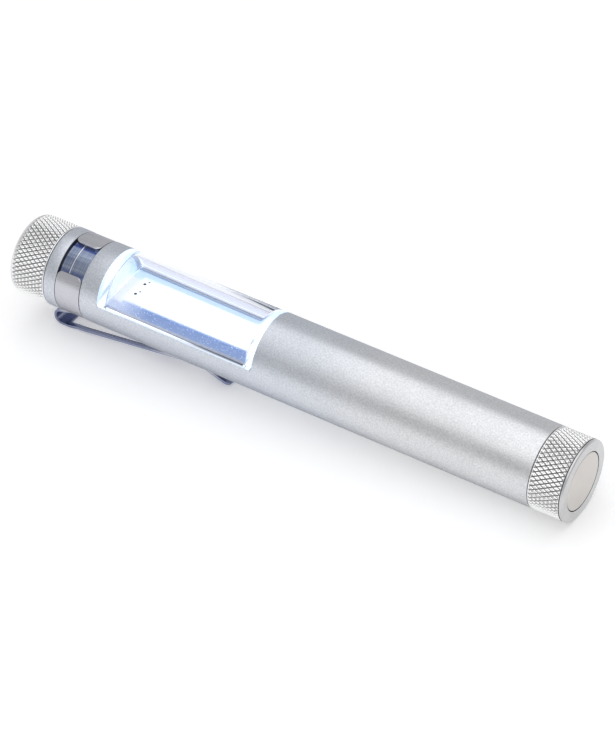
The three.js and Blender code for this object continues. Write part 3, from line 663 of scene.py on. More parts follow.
def subdivided(path, from_x, to_x, spacing):
    """A profile with points every spacing along its straight run between two places on the axis."""
    low, high = sorted((from_x, to_x))
    lines = [k * spacing for k in range(math.ceil(low / spacing), math.floor(high / spacing) + 1)]
    clear = 0.001 * MM
    result = []
    for first, second in zip(path, path[1:]):
        result.append(first)
        level = abs(first.y - second.y) < TINY
        if level and abs(first.x - second.x) > spacing:
            left, right = sorted((first.x, second.x))
            inside = [x for x in lines if left + clear < x < right - clear]
            inside.sort(reverse=second.x < first.x)
            result.extend(Vector((x, first.y)) for x in inside)
    result.append(path[-1])
    return result


def turned(name, profile, segments):
    """A closed form turned about X, from (x, radius) points that end on the axis or close."""
    form = bmesh.new()
    rings = []
    closed = (profile[0] - profile[-1]).length < TINY
    angles = [2 * math.pi * k / segments for k in range(segments)]
    for x, radius in profile[:-1] if closed else profile:
        if radius < TINY:
            rings.append([form.verts.new((x, 0, 0))])
            continue
        rings.append([form.verts.new((x, radius * math.cos(angle), radius * math.sin(angle)))
                      for angle in angles])
    pairs = list(zip(rings, rings[1:]))
    if closed:
        pairs.append((rings[-1], rings[0]))
    for first, second in pairs:
        for k in range(segments):
            n = (k + 1) % segments
            corners = [ring[spot % len(ring)]
                       for ring, spot in ((first, k), (first, n), (second, n), (second, k))]
            form.faces.new(list(dict.fromkeys(corners)))
    return finished_mesh(form, name)


def window_block(name, front, rear, sill, corner):
    """A block through the whole light above the sill, with rounded lower corners."""
    over = BODY_RADIUS + 1 * MM
    outline = rounded([(front, over), (front, sill, corner), (rear, sill, corner), (rear, over)])
    form = bmesh.new()
    ends = [[form.verts.new((x, y, z)) for x, z in outline] for y in (-over, over)]
    for end in ends:
        form.faces.new(end)
    join_rings(form, *ends)
    return finished_mesh(form, name)


def join_rings(form, first, second):
    """A ring of faces between two loops of points."""
    count = len(first)
    for k in range(count):
        n = (k + 1) % count
        form.faces.new((first[k], first[n], second[n], second[k]))


def finished_mesh(form, name):
    """A mesh from a bmesh, with its normals pointing out."""
    bmesh.ops.recalc_face_normals(form, faces=form.faces)
    mesh = bpy.data.meshes.new(name)
    form.to_mesh(mesh)
    form.free()
    return mesh


def new_object(name, mesh, *materials):
    """A linked object with its materials."""
    obj = bpy.data.objects.new(name, mesh)
    bpy.context.scene.collection.objects.link(obj)
    for material in materials:
        obj.data.materials.append(material)
    return obj


def applied(obj):
    """The object with its modifiers' result as its own plain mesh."""
    bpy.context.view_layer.update()
    graph = bpy.context.evaluated_depsgraph_get()
    mesh = bpy.data.meshes.new_from_object(
        obj.evaluated_get(graph), preserve_all_data_layers=True, depsgraph=graph)
    obj.modifiers.clear()
    obj.data = mesh
    mesh.name = obj.name
    return obj


def combine(obj, cutter_mesh, operation):
    """Cuts a closed mesh out of the object, or keeps what both share."""
    cutter = new_object(obj.name + "_cutter", cutter_mesh)
    modifier = obj.modifiers.new("Cut", "BOOLEAN")
    modifier.operation = operation
    modifier.solver = "EXACT"
    modifier.object = cutter
    applied(obj)
    bpy.data.objects.remove(cutter)
    if not obj.data.polygons:
        raise RuntimeError(f"nothing is left of {obj.name} after its cut")


def broken_edges(obj, width, segments=2, angle=math.radians(40)):
    """Rounds the sharp edges."""
    modifier = obj.modifiers.new("Edges", "BEVEL")
    modifier.width = width
    modifier.segments = segments
    modifier.limit_method = "ANGLE"
    modifier.angle_limit = angle
    return applied(obj)


def smooth(obj, angle=math.radians(35)):
    """Smooth shading, apart from edges sharper than the angle."""
    obj.data.shade_smooth()
    obj.data.set_sharp_from_angle(angle=angle)
    return obj


def paint_faces(obj, material, test):
    """Gives the faces whose centre passes the test another material."""
    obj.data.materials.append(material)
    index = len(obj.data.materials) - 1
    for face in obj.data.polygons:
        if test(face.center, face.normal):
            face.material_index = index


def stand_for(obj, body, node):
    """The finished piece rides on its body in place of its solid."""
    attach(obj, body)
    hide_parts(node)


def finish_solid(node, material):
    """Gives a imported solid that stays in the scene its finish."""
    frame["nodes"][node].material_slots[0].material = material


# Geometry node trees

def rule_tree(name, *sizes):
    """An empty geometry tree with named sizes as its inputs, its inputs' sockets and its end."""
    inputs = [("Geometry", GEOMETRY, None), *((size, FLOAT, None) for size in sizes),
              ("Material", MATERIAL, None)]
    outputs = [("Geometry", GEOMETRY, None)]
    tree, given, result = new_group(name, "GeometryNodeTree", inputs, outputs)
    return tree, given.outputs, result


def radial_parts(tree):
    """Distance along the axis, radius, outward direction and angle of each point."""
    position = put(tree, "GeometryNodeInputPosition").outputs[0]
    axes = put(tree, "ShaderNodeSeparateXYZ", Vector=position).outputs
    way, radius = off_axis(tree, axes)
    outward = put(tree, "ShaderNodeVectorMath", {"operation": "NORMALIZE"}, _0=way).outputs[0]
    angle = calc(tree, "ARCTAN2", axes["Z"], axes["Y"])
    return axes["X"], radius, outward, angle


def shift_out(tree, geometry, outward, distance):
    """Moves the points along their outward direction."""
    offset = put(tree, "ShaderNodeVectorMath", {"operation": "SCALE"},
                 _0=outward, Scale=distance).outputs[0]
    return put(tree, "GeometryNodeSetPosition", Geometry=geometry, Offset=offset).outputs[0]


def run_mask(tree, x, low, high, fade):
    """1 between two places on the axis, fading to 0 just inside them."""
    rise, fall = (
        ramp(tree, calc(tree, "DIVIDE", calc(tree, "SUBTRACT", far, near), fade), 0.0, 1.0)
        for near, far in ((low, x), (x, high)))
    return calc(tree, "MULTIPLY", rise, fall)


def from_half(tree, phase):
    """How far a phase is from one half."""
    return calc(tree, "ABSOLUTE", calc(tree, "SUBTRACT", phase, 0.5))


def end_tree(tree, result, geometry, material):
    """Ends a tree in real geometry with its material."""
    real = put(tree, "GeometryNodeRealizeInstances", Geometry=geometry).outputs[0]
    painted = put(tree, "GeometryNodeSetMaterial", Geometry=real, Material=material).outputs[0]
    tree.links.new(painted, result.inputs["Geometry"])


SHALLOW_SHARE = 0.4


def knurl_tree():
    """Two families of crossing grooves, every second one shallower, cut into a turned cap."""
    tree, value, result = rule_tree(
        "Diamond Knurl", "Teeth", "Pitch", "Depth", "Crest", "Low", "High", "Fade", "Radius")
    x, radius, outward, angle = radial_parts(tree)
    around = calc(tree, "MULTIPLY", angle, calc(tree, "DIVIDE", value["Teeth"], 2 * math.pi))
    along = calc(tree, "DIVIDE", x, value["Pitch"])
    sloped_share = calc(tree, "SUBTRACT", 1.0, value["Crest"])
    cuts = []
    for operation in ("ADD", "SUBTRACT"):
        phase = calc(tree, "FRACT", calc(tree, operation, around, along))
        half_phase = calc(tree, "FRACT", calc(tree, "MULTIPLY", phase, 2.0))
        from_crest = calc(tree, "MULTIPLY", from_half(tree, half_phase), 2.0)
        height = calc(tree, "SUBTRACT", 1.0, from_crest)
        slope = calc(tree, "DIVIDE", height, sloped_share, clamp=True)
        depth_share = ramp(tree, from_half(tree, phase), 0.2, 0.3, SHALLOW_SHARE, 1.0)
        cuts.append(calc(tree, "MULTIPLY", calc(tree, "SUBTRACT", 1.0, slope), depth_share))
    cut_share = calc(tree, "MAXIMUM", *cuts)
    on_run = run_mask(tree, x, value["Low"], value["High"], value["Fade"])
    below = calc(tree, "DIVIDE", calc(tree, "SUBTRACT", value["Radius"], radius), value["Depth"])
    room = ramp(tree, below, 0.05, 1.05, 1.0, 0.0)
    share = calc(tree, "MULTIPLY", cut_share, calc(tree, "MULTIPLY", on_run, room))
    # The groove's depth share is kept for the knurl's painted shade.
    stored = put(tree, "GeometryNodeStoreNamedAttribute", {"data_type": "FLOAT", "domain": "POINT"},
                 Geometry=value["Geometry"], Name=GROOVE_ATTRIBUTE, Value=share).outputs[0]
    cut = calc(tree, "MULTIPLY", calc(tree, "MULTIPLY", share, value["Depth"]), -1.0)
    shaped = shift_out(tree, stored, outward, cut)
    triangles = put(tree, "GeometryNodeTriangulate", Mesh=shaped).outputs[0]
    end_tree(tree, result, triangles, value["Material"])
    return tree


def thread_tree():
    """A screw thread raised on a turned neck."""
    tree, value, result = rule_tree(
        "Screw Thread", "Pitch", "Height", "Root", "Low", "High", "Fade")
    x, radius, outward, angle = radial_parts(tree)
    turns = calc(tree, "SUBTRACT", calc(tree, "DIVIDE", x, value["Pitch"]),
                 calc(tree, "DIVIDE", angle, 2 * math.pi))
    flank = ramp(tree, from_half(tree, calc(tree, "FRACT", turns)), 0.12, 0.42, 1.0, 0.0)
    from_root = calc(tree, "ABSOLUTE", calc(tree, "SUBTRACT", radius, value["Root"]))
    at_root = ramp(tree, from_root, 0.0, 0.05 * MM, 1.0, 0.0)
    on_run = run_mask(tree, x, value["Low"], value["High"], value["Fade"])
    share = calc(tree, "MULTIPLY", flank, calc(tree, "MULTIPLY", at_root, on_run))
    rise = calc(tree, "MULTIPLY", share, value["Height"])
    shaped = shift_out(tree, value["Geometry"], outward, rise)
    end_tree(tree, result, shaped, value["Material"])
    return tree


COIL_RESOLUTION = 48
WIRE_SIDES = 14


def coil_tree():
    """A round wire wound on a cone along the axis, from its base towards -X."""
    tree, value, result = rule_tree(
        "Cone Spring", "Turns", "Base Radius", "Tip Radius", "Rise", "Wire Radius", "Start")
    spiral = put(tree, "GeometryNodeCurveSpiral", Resolution=COIL_RESOLUTION,
                 Rotations=value["Turns"], Start_Radius=value["Base Radius"],
                 End_Radius=value["Tip Radius"], Height=value["Rise"])
    start = put(tree, "ShaderNodeCombineXYZ", X=value["Start"]).outputs[0]
    laid = put(tree, "GeometryNodeTransform", Geometry=spiral.outputs[0], Translation=start,
               Rotation=(0.0, -math.pi / 2, 0.0))
    section = put(tree, "GeometryNodeCurvePrimitiveCircle", Resolution=WIRE_SIDES,
                  Radius=value["Wire Radius"])
    wire = put(tree, "GeometryNodeCurveToMesh", Curve=laid.outputs[0],
               Profile_Curve=section.outputs[0], Fill_Caps=True)
    end_tree(tree, result, wire.outputs[0], value["Material"])
    return tree


def follow_rule(obj, tree, values):
    """Runs a geometry tree on the object with named values, and keeps the result as its mesh."""
    modifier = obj.modifiers.new(tree.name, "NODES")
    modifier.node_group = tree
    for socket in tree.interface.items_tree:
        if socket.in_out == "INPUT" and socket.name in values:
            modifier[socket.identifier] = values[socket.name]
    return applied(obj)


# Pieces

CAP_SEGMENTS_PER_TOOTH = 12
THREAD_ROWS_PER_TURN = 12
ROUND_SEGMENTS = 160
PIN_SEGMENTS = 32


class WORKLIGHT_OT_barrel(bpy.types.Operator):
    """Turned barrel with its threads, window and polished groove"""
    bl_idname = "worklight.barrel"
    bl_label = "Barrel"

    def execute(self, context):
        sizes = context.scene.worklight_turning
        colours = context.scene.worklight_finishes
        satin = satin_aluminium(colours)
        rear, front = BARREL[1].x, BARREL[0].x
        rear_shoulder = TAIL_CAP[0].x - sizes.seam
        front_shoulder = HEAD_CAP[1].x + sizes.seam
        groove_half = BAND_HALF + sizes.band_side_gap
        groove_rear = GROOVE_CENTRE + groove_half
        groove_front = GROOVE_CENTRE - groove_half
        floor = BODY_RADIUS - sizes.groove_depth
        edge = sizes.edge_round
        neck = sizes.neck_radius
        profile = rounded([
            (rear, sizes.bore_radius),
            (rear, neck, edge),
            (rear_shoulder, neck),
            (rear_shoulder, BODY_RADIUS, edge),
            (groove_rear, BODY_RADIUS, edge),
            (groove_rear, floor),
            (groove_front, floor),
            (groove_front, BODY_RADIUS, edge),
            (front_shoulder, BODY_RADIUS, edge),
            (front_shoulder, neck),
            (front, neck, edge),
            (front, sizes.bore_radius),
            (rear, sizes.bore_radius),
        ], math.radians(20))
        row = sizes.thread_pitch / THREAD_ROWS_PER_TURN
        profile = subdivided(profile, rear, rear_shoulder, row)
        profile = subdivided(profile, front_shoulder, front, row)
        barrel = new_object("barrel_shell", turned("barrel_shell", profile, ROUND_SEGMENTS), satin)
        threads = thread_tree()
        for low, high in ((rear_shoulder, rear), (front, front_shoulder)):
            follow_rule(barrel, threads, {
                "Pitch": sizes.thread_pitch, "Height": sizes.thread_height, "Root": neck,
                "Low": low, "High": high, "Fade": sizes.thread_pitch / 2, "Material": satin})
        fit = sizes.lens_fit
        window = window_block("window", LENS[0].x - fit, LENS[1].x + fit, LENS[0].z - fit / 2,
                              sizes.window_corner)
        combine(barrel, window, "DIFFERENCE")
        smooth(barrel)

        def in_groove(centre, lowest, highest):
            return (groove_front - edge < centre.x < groove_rear + edge
                    and lowest < centre.yz.length < highest)

        margin = 0.2 * MM
        # The groove's floor gets painted reflections.
        paint_faces(barrel, polished_groove(colours), lambda centre, normal: (
            in_groove(centre, sizes.bore_radius + margin, BODY_RADIUS - margin)))
        # Painted shade on the groove's side walls.
        walls = moulded("groove_wall_painted_shade", colours.groove_wall_painted_shade, 0.5, 0.7).material
        paint_faces(barrel, walls, lambda centre, normal: (
            abs(normal.x) > 0.9 and in_groove(centre, floor - edge, BODY_RADIUS)))
        stand_for(barrel, "barrel", "barrel")
        return {"FINISHED"}


class WORKLIGHT_OT_lens(bpy.types.Operator):
    """Clear window cover with its end walls"""
    bl_idname = "worklight.lens"
    bl_label = "Window lens"

    def execute(self, context):
        sizes = context.scene.worklight_turning
        front, rear = LENS[0].x, LENS[1].x
        solid = rounded([(front, 0), (front, BODY_RADIUS), (rear, BODY_RADIUS), (rear, 0)])
        mesh = turned("window_cover", solid, ROUND_SEGMENTS)
        lens = new_object("window_cover", mesh, clear_lens(context.scene.worklight_finishes))
        inner = BODY_RADIUS - sizes.lens_wall
        inner_front = front + sizes.lens_front_wall
        inner_rear = rear - sizes.lens_rear_wall
        fillet = 0.4 * MM
        cavity = rounded([(inner_front, 0), (inner_front, inner, fillet),
                          (inner_rear, inner, fillet), (inner_rear, 0)])
        combine(lens, turned("cavity", cavity, ROUND_SEGMENTS), "DIFFERENCE")
        cover = window_block("cover", front, rear, LENS[0].z, sizes.window_corner)
        combine(lens, cover, "INTERSECT")
        smooth(broken_edges(lens, 0.06 * MM))
        stand_for(lens, "barrel", "window_lens")
        return {"FINISHED"}


class WORKLIGHT_OT_caps(bpy.types.Operator):
    """Knurled tail cap and head cap"""
    bl_idname = "worklight.caps"
    bl_label = "Knurled caps"

    def execute(self, context):
        colours = context.scene.worklight_finishes
        self.sizes = context.scene.worklight_turning
        self.knurl = context.scene.worklight_knurl
        self.bright = knurled_aluminium(colours)
        self.plain = turned_aluminium(colours)
        # Painted shade for the magnet's gap and the cut line before the rim.
        self.dark = moulded("groove_shadow", colours.gap, 0.5, 0.7).material
        self.rule = knurl_tree()
        self.tail_cap()
        self.head_cap()
        return {"FINISHED"}

    def tail_cap(self):
        """The cap with the magnet's pocket, and a cut line between its knurl and its smooth rim."""
        sizes, edge = self.sizes, self.sizes.edge_round
        face, seam = TAIL_CAP[1].x, TAIL_CAP[0].x
        pocket_floor = MAGNET[0].x - 0.05 * MM
        pocket = MAGNET[1].z + 0.12 * MM
        inside = pocket_floor - sizes.tail_floor
        line = 0.16 * MM
        rim = face - self.knurl.tail_margin
        knurl_end = rim - line
        profile = rounded([
            (pocket_floor, 0),
            (pocket_floor, pocket),
            (face, pocket, 0.04 * MM),
            (face, BODY_RADIUS, 0.28 * MM),
            (rim, BODY_RADIUS),
            (rim - line / 2, BODY_RADIUS - line),
            (knurl_end, BODY_RADIUS),
            (seam, BODY_RADIUS, edge),
            (seam, sizes.skirt_radius, edge),
            (inside, sizes.skirt_radius),
            (inside, 0),
        ])
        run = (seam + self.knurl.seam_margin, knurl_end)
        cap = self.knurled("tail_cap_knurled", profile, run)
        paint_faces(cap, self.plain, lambda centre, normal: (
            centre.x > rim or centre.yz.length < sizes.skirt_radius + 0.2 * MM))
        hair = 0.01 * MM
        # Painted shade in the cut line and round the magnet's pocket.
        paint_faces(cap, self.dark, lambda centre, normal: (
            knurl_end < centre.x < rim and centre.yz.length < BODY_RADIUS - 3 * hair
            or centre.x > pocket_floor - hair and centre.yz.length < pocket + hair))
        stand_for(cap, "tail_cap", "tail_cap")

    def head_cap(self):
        """The cap with a rounded end and the contact's hole inside."""
        sizes, edge = self.sizes, self.sizes.edge_round
        end, seam = HEAD_CAP[0].x, HEAD_CAP[1].x
        inside = end + sizes.head_floor
        hole_end = inside - sizes.stem_depth
        profile = rounded([
            (hole_end, 0),
            (hole_end, sizes.stem_radius),
            (inside, sizes.stem_radius),
            (inside, sizes.skirt_radius),
            (seam, sizes.skirt_radius, edge),
            (seam, BODY_RADIUS, edge),
            (end, BODY_RADIUS, sizes.head_round),
            (end, 0),
        ])
        run = (end, seam - self.knurl.seam_margin)
        cap = self.knurled("head_cap_knurled", profile, run)
        paint_faces(cap, self.plain, lambda centre, normal: (
            centre.yz.length < sizes.skirt_radius + 0.1 * MM))
        stand_for(cap, "head_cap", "head_cap")

    def knurled(self, name, profile, run):
        """A turned cap with the diamond knurl cut between two places on the axis."""
        knurl = self.knurl
        dense = subdivided(profile, *run, knurl.pitch / CAP_SEGMENTS_PER_TOOTH)
        segments = knurl.teeth * CAP_SEGMENTS_PER_TOOTH
        cap = new_object(name, turned(name, dense, segments), self.bright)
        follow_rule(cap, self.rule, {
            "Teeth": float(knurl.teeth), "Pitch": knurl.pitch, "Depth": knurl.depth,
            "Crest": knurl.crest, "Low": run[0], "High": run[1], "Fade": knurl.fade,
            "Radius": BODY_RADIUS, "Material": self.bright})
        return smooth(cap, math.radians(28))


class WORKLIGHT_OT_magnet(bpy.types.Operator):
    """Plated disc magnet in the tail's face"""
    bl_idname = "worklight.magnet"
    bl_label = "Magnet"

    def execute(self, context):
        face, back = MAGNET[1].x, MAGNET[0].x
        radius = MAGNET[1].z
        edge = 0.15 * MM
        profile = rounded([(face, 0), (face, radius, edge), (back, radius, edge), (back, 0)],
                          math.radians(15))
        mesh = turned("magnet_disc", profile, ROUND_SEGMENTS)
        nickel = nickel_magnet(context.scene.worklight_finishes)
        magnet = smooth(new_object("magnet_disc", mesh, nickel))
        stand_for(magnet, "tail_cap", "magnet")
        return {"FINISHED"}


class WORKLIGHT_OT_spring(bpy.types.Operator):
    """Cone spring in the tail cap"""
    bl_idname = "worklight.spring"
    bl_label = "Tail spring"

    def execute(self, context):
        wire = 0.6 * MM
        steel = drawn_metal("spring_steel", context.scene.worklight_finishes.wire, 0.2, 0.32)
        spring = new_object("tail_coil", bpy.data.meshes.new("tail_coil"))
        follow_rule(spring, coil_tree(), {
            "Turns": 4.5, "Base Radius": SPRING[1].z - wire / 2, "Tip Radius": 2.3 * MM,
            "Wire Radius": wire / 2, "Rise": SPRING[1].x - SPRING[0].x - wire,
            "Start": SPRING[1].x - wire / 2, "Material": steel})
        smooth(spring)
        stand_for(spring, "tail_spring", "tail_spring")
        return {"FINISHED"}


class WORKLIGHT_OT_clip(bpy.types.Operator):
    """Pocket clip bent from one piece of spring steel"""
    bl_idname = "worklight.clip"
    bl_label = "Pocket clip"

    def execute(self, context):
        self.clip = context.scene.worklight_clip
        self.form = bmesh.new()
        self.mark_places()
        columns = self.tongue_angles()
        self.band(columns)
        self.tongue_and_arm(columns)
        bmesh.ops.remove_doubles(self.form, verts=self.form.verts, dist=0.002 * MM)
        mesh = finished_mesh(self.form, "pocket_clip")
        steel = clip_steel(context.scene.worklight_finishes)
        piece = new_object("pocket_clip", mesh, steel)
        sheet = piece.modifiers.new("Sheet", "SOLIDIFY")
        sheet.thickness = self.clip.thickness
        sheet.offset = 0
        sheet.use_even_offset = True
        applied(piece)
        smooth(broken_edges(piece, self.clip.edge), math.radians(30))
        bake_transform(piece)
        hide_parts("clip_band", "clip_arm")
        return {"FINISHED"}

    def mark_places(self):
        """Places along the axis where the sheet changes."""
        clip = self.clip
        self.band_front = GROOVE_CENTRE - BAND_HALF
        self.notch_end = self.band_front + clip.notch
        self.slot_start = BEND_POINT.x + clip.slot_inset
        self.slot_end = self.slot_start + clip.slot_length
        self.slot_round = self.slot_end - clip.slot_half

    def tongue_angles(self):
        """Angles from the bottom of the band at which the tongue's columns of points lie."""
        half = math.asin(self.clip.arm_half / self.clip.band_radius)
        return self.spread(-half, half, 8)

    def inset(self, distance, corner):
        """How far an edge draws in at a distance from a rounded end."""
        short = max(corner - distance, 0)
        return corner - math.sqrt(corner * corner - short * short)

    def spread(self, start, end, steps):
        """Values at even steps from start to end."""
        return [start + (end - start) * k / steps for k in range(steps + 1)]

    def quarter(self, steps):
        """Sines at even steps over a quarter turn, for points on a rounded end."""
        return [math.sin(angle) for angle in self.spread(0, math.pi / 2, steps)]

    def patch(self, rows):
        """A grid of faces through rows of points."""
        grid = [[self.form.verts.new(point) for point in row] for row in rows]
        for first, second in zip(grid, grid[1:]):
            for k in range(len(first) - 1):
                self.form.faces.new((first[k], first[k + 1], second[k + 1], second[k]))

    def band(self, columns):
        """The open band, slit either side of the tongue's root."""
        clip = self.clip
        near, far = -clip.near_wrap, clip.far_wrap

        def edge(angle):
            to_end = min(angle - near, far - angle) * clip.band_radius
            return BAND_HALF - self.inset(to_end, clip.band_corner)

        def row(angle, start, end):
            radius = clip.band_radius
            y, z = radius * math.sin(angle), -radius * math.cos(angle)
            return [(x, y, z) for x in self.spread(start, end, 4)]

        flanks = [self.flank(columns[-1], far), self.flank(columns[0], near)]
        whole = flanks[1][::-1] + columns + flanks[0]
        self.patch([row(a, GROOVE_CENTRE + edge(a), self.notch_end) for a in whole])
        for flank in flanks:
            self.patch([row(a, self.notch_end, GROOVE_CENTRE - edge(a)) for a in flank])

    def flank(self, tongue, end):
        """Angles from beside the tongue's slit to the band's end, closer at its round corners."""
        clip = self.clip
        side = math.copysign(1, end)
        slit = tongue + side * clip.slit / clip.band_radius
        corner = side * clip.band_corner / clip.band_radius
        steps = math.ceil(abs(end - corner - slit) / math.radians(3))
        sweep = self.spread(slit, end - corner, steps)[:-1]
        return sweep + [end - corner * (1 - sine) for sine in self.quarter(6)]

    def path(self):
        """The middle of the sheet from the tongue's root to the tip, in the plane of the axis."""
        clip = self.clip
        half_sheet = clip.thickness / 2
        leg_height = -(BODY_RADIUS + clip.leg_gap + half_sheet)
        bend_top = leg_height - clip.leg_fall
        arm_height = 2 * BEND_POINT.z - bend_top
        bend = (bend_top - arm_height) / 2 - 0.02 * MM
        contact_height = -(BODY_RADIUS + clip.contact_gap + half_sheet)
        return rounded([
            (self.notch_end, -clip.band_radius),
            (self.notch_end - clip.root_bend, -clip.band_radius, clip.root_bend),
            (self.band_front, leg_height, clip.root_bend),
            (BEND_POINT.x, bend_top, bend),
            (BEND_POINT.x, arm_height, bend),
            (BEND_POINT.x + clip.level, arm_height, clip.arm_bend),
            (BEND_POINT.x + clip.contact_reach, contact_height, clip.contact_bend),
            (ARM[1].x - half_sheet / 2, contact_height - clip.tip_lift),
        ], math.radians(6))

    def tongue_and_arm(self, columns):
        """The tongue, the bend and the slotted arm, as rows of points across the sheet."""
        clip = self.clip
        path = self.stations(self.path())
        flat_from = self.band_front - 2 * clip.thickness
        root = self.notch_end - clip.root_bend
        tip = path[-1]
        tongue_shares = [math.sin(a) / math.sin(columns[-1]) for a in columns]
        on_arm = False
        solid_rows, left_rows, right_rows, end_rows = [], [], [], []
        for point in path:
            on_arm = on_arm or point.y < BEND_POINT.z
            half = clip.arm_half - self.inset((tip - point).length, clip.tip_corner)
            bow = min(max((point.x - flat_from) / (root - flat_from), 0), 1)
            bow = bow * bow * (3 - 2 * bow)

            def place(y):
                lift = bow * (clip.band_radius - math.sqrt(clip.band_radius ** 2 - y * y))
                return (point.x, y, point.y + lift)

            if not on_arm or point.x <= self.slot_start + TINY:
                inner = clip.slot_half / half
                beside = (1 + inner) / 2
                arm_shares = [-1, -beside, -inner, -inner / 2, 0, inner / 2, inner, beside, 1]
                ease = 1 if on_arm else min(max((flat_from - point.x) / (2 * MM), 0), 1)
                solid_rows.append([place(half * (tongue + (arm - tongue) * ease))
                                   for tongue, arm in zip(tongue_shares, arm_shares)])
            if on_arm and self.slot_start - TINY <= point.x <= self.slot_end + TINY:
                gap = clip.slot_half
                if point.x > self.slot_round:
                    past = point.x - self.slot_round
                    gap = math.sqrt(max(clip.slot_half ** 2 - past ** 2, 0))
                left_rows.append([place(y) for y in self.spread(-half, -gap, 2)])
                right_rows.append([place(y) for y in self.spread(gap, half, 2)])
            if on_arm and point.x >= self.slot_end - TINY:
                end_rows.append([place(y) for y in self.spread(-half, half, 4)])
        for rows in (solid_rows, left_rows, right_rows, end_rows):
            self.patch(rows)

    def stations(self, path):
        """The path with extra points along the arm, the slot's ends and the rounded tip."""
        clip = self.clip
        wanted = [self.slot_start]
        wanted += [self.slot_round + clip.slot_half * sine for sine in self.quarter(10)]
        dense = []
        for first, second in zip(path, path[1:]):
            dense.append(first)
            run = second.x - first.x
            if first.y > BEND_POINT.z or run <= 0:
                continue
            spots = [x for x in wanted if first.x + TINY < x < second.x - TINY]
            count = math.ceil(run / (1 * MM))
            spots += self.spread(first.x, second.x, count)[1:-1]
            dense += [first.lerp(second, (x - first.x) / run) for x in sorted(spots)]
        tip = path[-1]
        back = (path[-2] - tip).normalized()
        clear = clip.tip_corner * 1.05
        dense = [p for p in dense if p.y > BEND_POINT.z or (tip - p).length > clear]
        angles = self.spread(math.pi / 2, 0, 8)
        return dense + [tip + back * clip.tip_corner * (1 - math.cos(a)) for a in angles]


class WORKLIGHT_OT_strip(bpy.types.Operator):
    """Lit strip with its board, gel and solder points"""
    bl_idname = "worklight.strip"
    bl_label = "Lit strip"

    def execute(self, context):
        colours = context.scene.worklight_finishes
        pins = ("cob_pin_positive", "cob_pin_negative")
        self.gel(colours)
        vias = []
        for pin in pins:
            low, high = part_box(pin)
            vias.append(((low.x + high.x) / 2 + 0.1 * MM, (low.y + high.y) / 2 + 1.25 * MM,
                         BOARD[1].z))
        # The board and tray finishes carry painted light from the strip.
        board = lit_surface("strip_substrate", colours.substrate, colours,
                            near=2.7 * MM, far=3.5 * MM, strength=0.55, vias=vias)
        tray = lit_surface("white_plastic", colours.tray, colours,
                           near=2.6 * MM, far=3.8 * MM, strength=0.38)
        finish_solid("cob_board", board)
        finish_solid("light_tray", tray)
        solder = drawn_metal("solder", colours.solder, 0.3, 0.45)
        for pin in pins:
            self.solder_point(pin, board, solder)
        return {"FINISHED"}

    def gel(self, colours):
        """Phosphor gel with a crowned top and round corners."""
        low, high = PHOSPHOR
        middle = Vector(((low.x + high.x) / 2, 0))
        corner = 0.8 * MM
        steps = 8
        outline = []
        for quarter, (x, y) in enumerate((
                (high.x, high.y), (low.x, high.y), (low.x, low.y), (high.x, low.y))):
            turn_x = x - math.copysign(corner, x - middle.x)
            turn_y = y - math.copysign(corner, y)
            for k in range(steps + 1):
                angle = math.pi / 2 * (quarter + k / steps)
                outline.append(Vector((turn_x + corner * math.cos(angle),
                                       turn_y + corner * math.sin(angle))))
        form = bmesh.new()
        rows = []
        for draw_in, height in ((0, 0), (0, 0.45), (0.08, 0.75), (0.22, 0.93), (0.45, 1.0)):
            z = low.z + (high.z - low.z) * height
            shrunk = [p - (p - middle).normalized() * draw_in * corner for p in outline]
            rows.append([form.verts.new((p.x, p.y, z)) for p in shrunk])
        for first, second in zip(rows, rows[1:]):
            join_rings(form, first, second)
        form.faces.new(rows[0][::-1])
        form.faces.new(rows[-1])
        mesh = finished_mesh(form, "phosphor_gel")
        gel = smooth(new_object("phosphor_gel", mesh, strip_phosphor(colours)))
        stand_for(gel, "barrel", "cob_phosphor")

    def solder_point(self, node, pad, material):
        """A pin with its rounded head, white but for the dark solder in its middle."""
        low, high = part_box(node)
        centre = (low + high) / 2
        radius = (high.y - low.y) / 2
        shank = 0.35 * MM
        seat = high.z - 0.4 * MM
        dot = 0.26 * MM
        profile = rounded([
            (low.z, 0), (low.z, shank, 0.1 * MM), (seat, shank), (seat, radius, 0.08 * MM),
            (high.z, shank * 1.2, 0.2 * MM), (high.z, dot), (high.z, 0)])
        mesh = turned(node + "_solder", profile, PIN_SEGMENTS)
        upright = Matrix.Rotation(-math.pi / 2, 4, "Y")
        mesh.transform(Matrix.Translation((centre.x, centre.y, 0)) @ upright)
        pin = smooth(new_object(node + "_solder", mesh, pad))
        paint_faces(pin, material, lambda spot, normal: (spot - centre).xy.length < dot)
        stand_for(pin, "barrel", node)


class WORKLIGHT_OT_inner_pieces(bpy.types.Operator):
    """Cell, contacts, driver board, its parts and the wires"""
    bl_idname = "worklight.inner_pieces"
    bl_label = "Inner pieces"

    def execute(self, context):
        colours = context.scene.worklight_finishes
        brass = drawn_metal("contact_brass", colours.brass, 0.22, 0.36)
        epoxy = moulded("black_epoxy", colours.epoxy, 0.4, 0.55).material
        mask = moulded("circuit_board", colours.board, 0.35, 0.5, Coat_Weight=0.3).material
        finishes = {
            "battery_cell": cell_sleeve(colours),
            "positive_contact": brass,
            "front_contact_plate": brass,
            "head_contact": brass,
            "driver_board": mask,
            "driver_chip": epoxy,
            "driver_inductor": epoxy,
            "driver_diode": epoxy,
            "driver_capacitor": moulded("tan_ceramic", colours.ceramic, 0.4, 0.5).material,
            "wire_red": moulded("red_insulation", colours.red_wire, 0.35, 0.5).material,
            "wire_black": moulded("black_insulation", colours.black_wire, 0.35, 0.5).material,
        }
        for node, material in finishes.items():
            finish_solid(node, material)
        return {"FINISHED"}


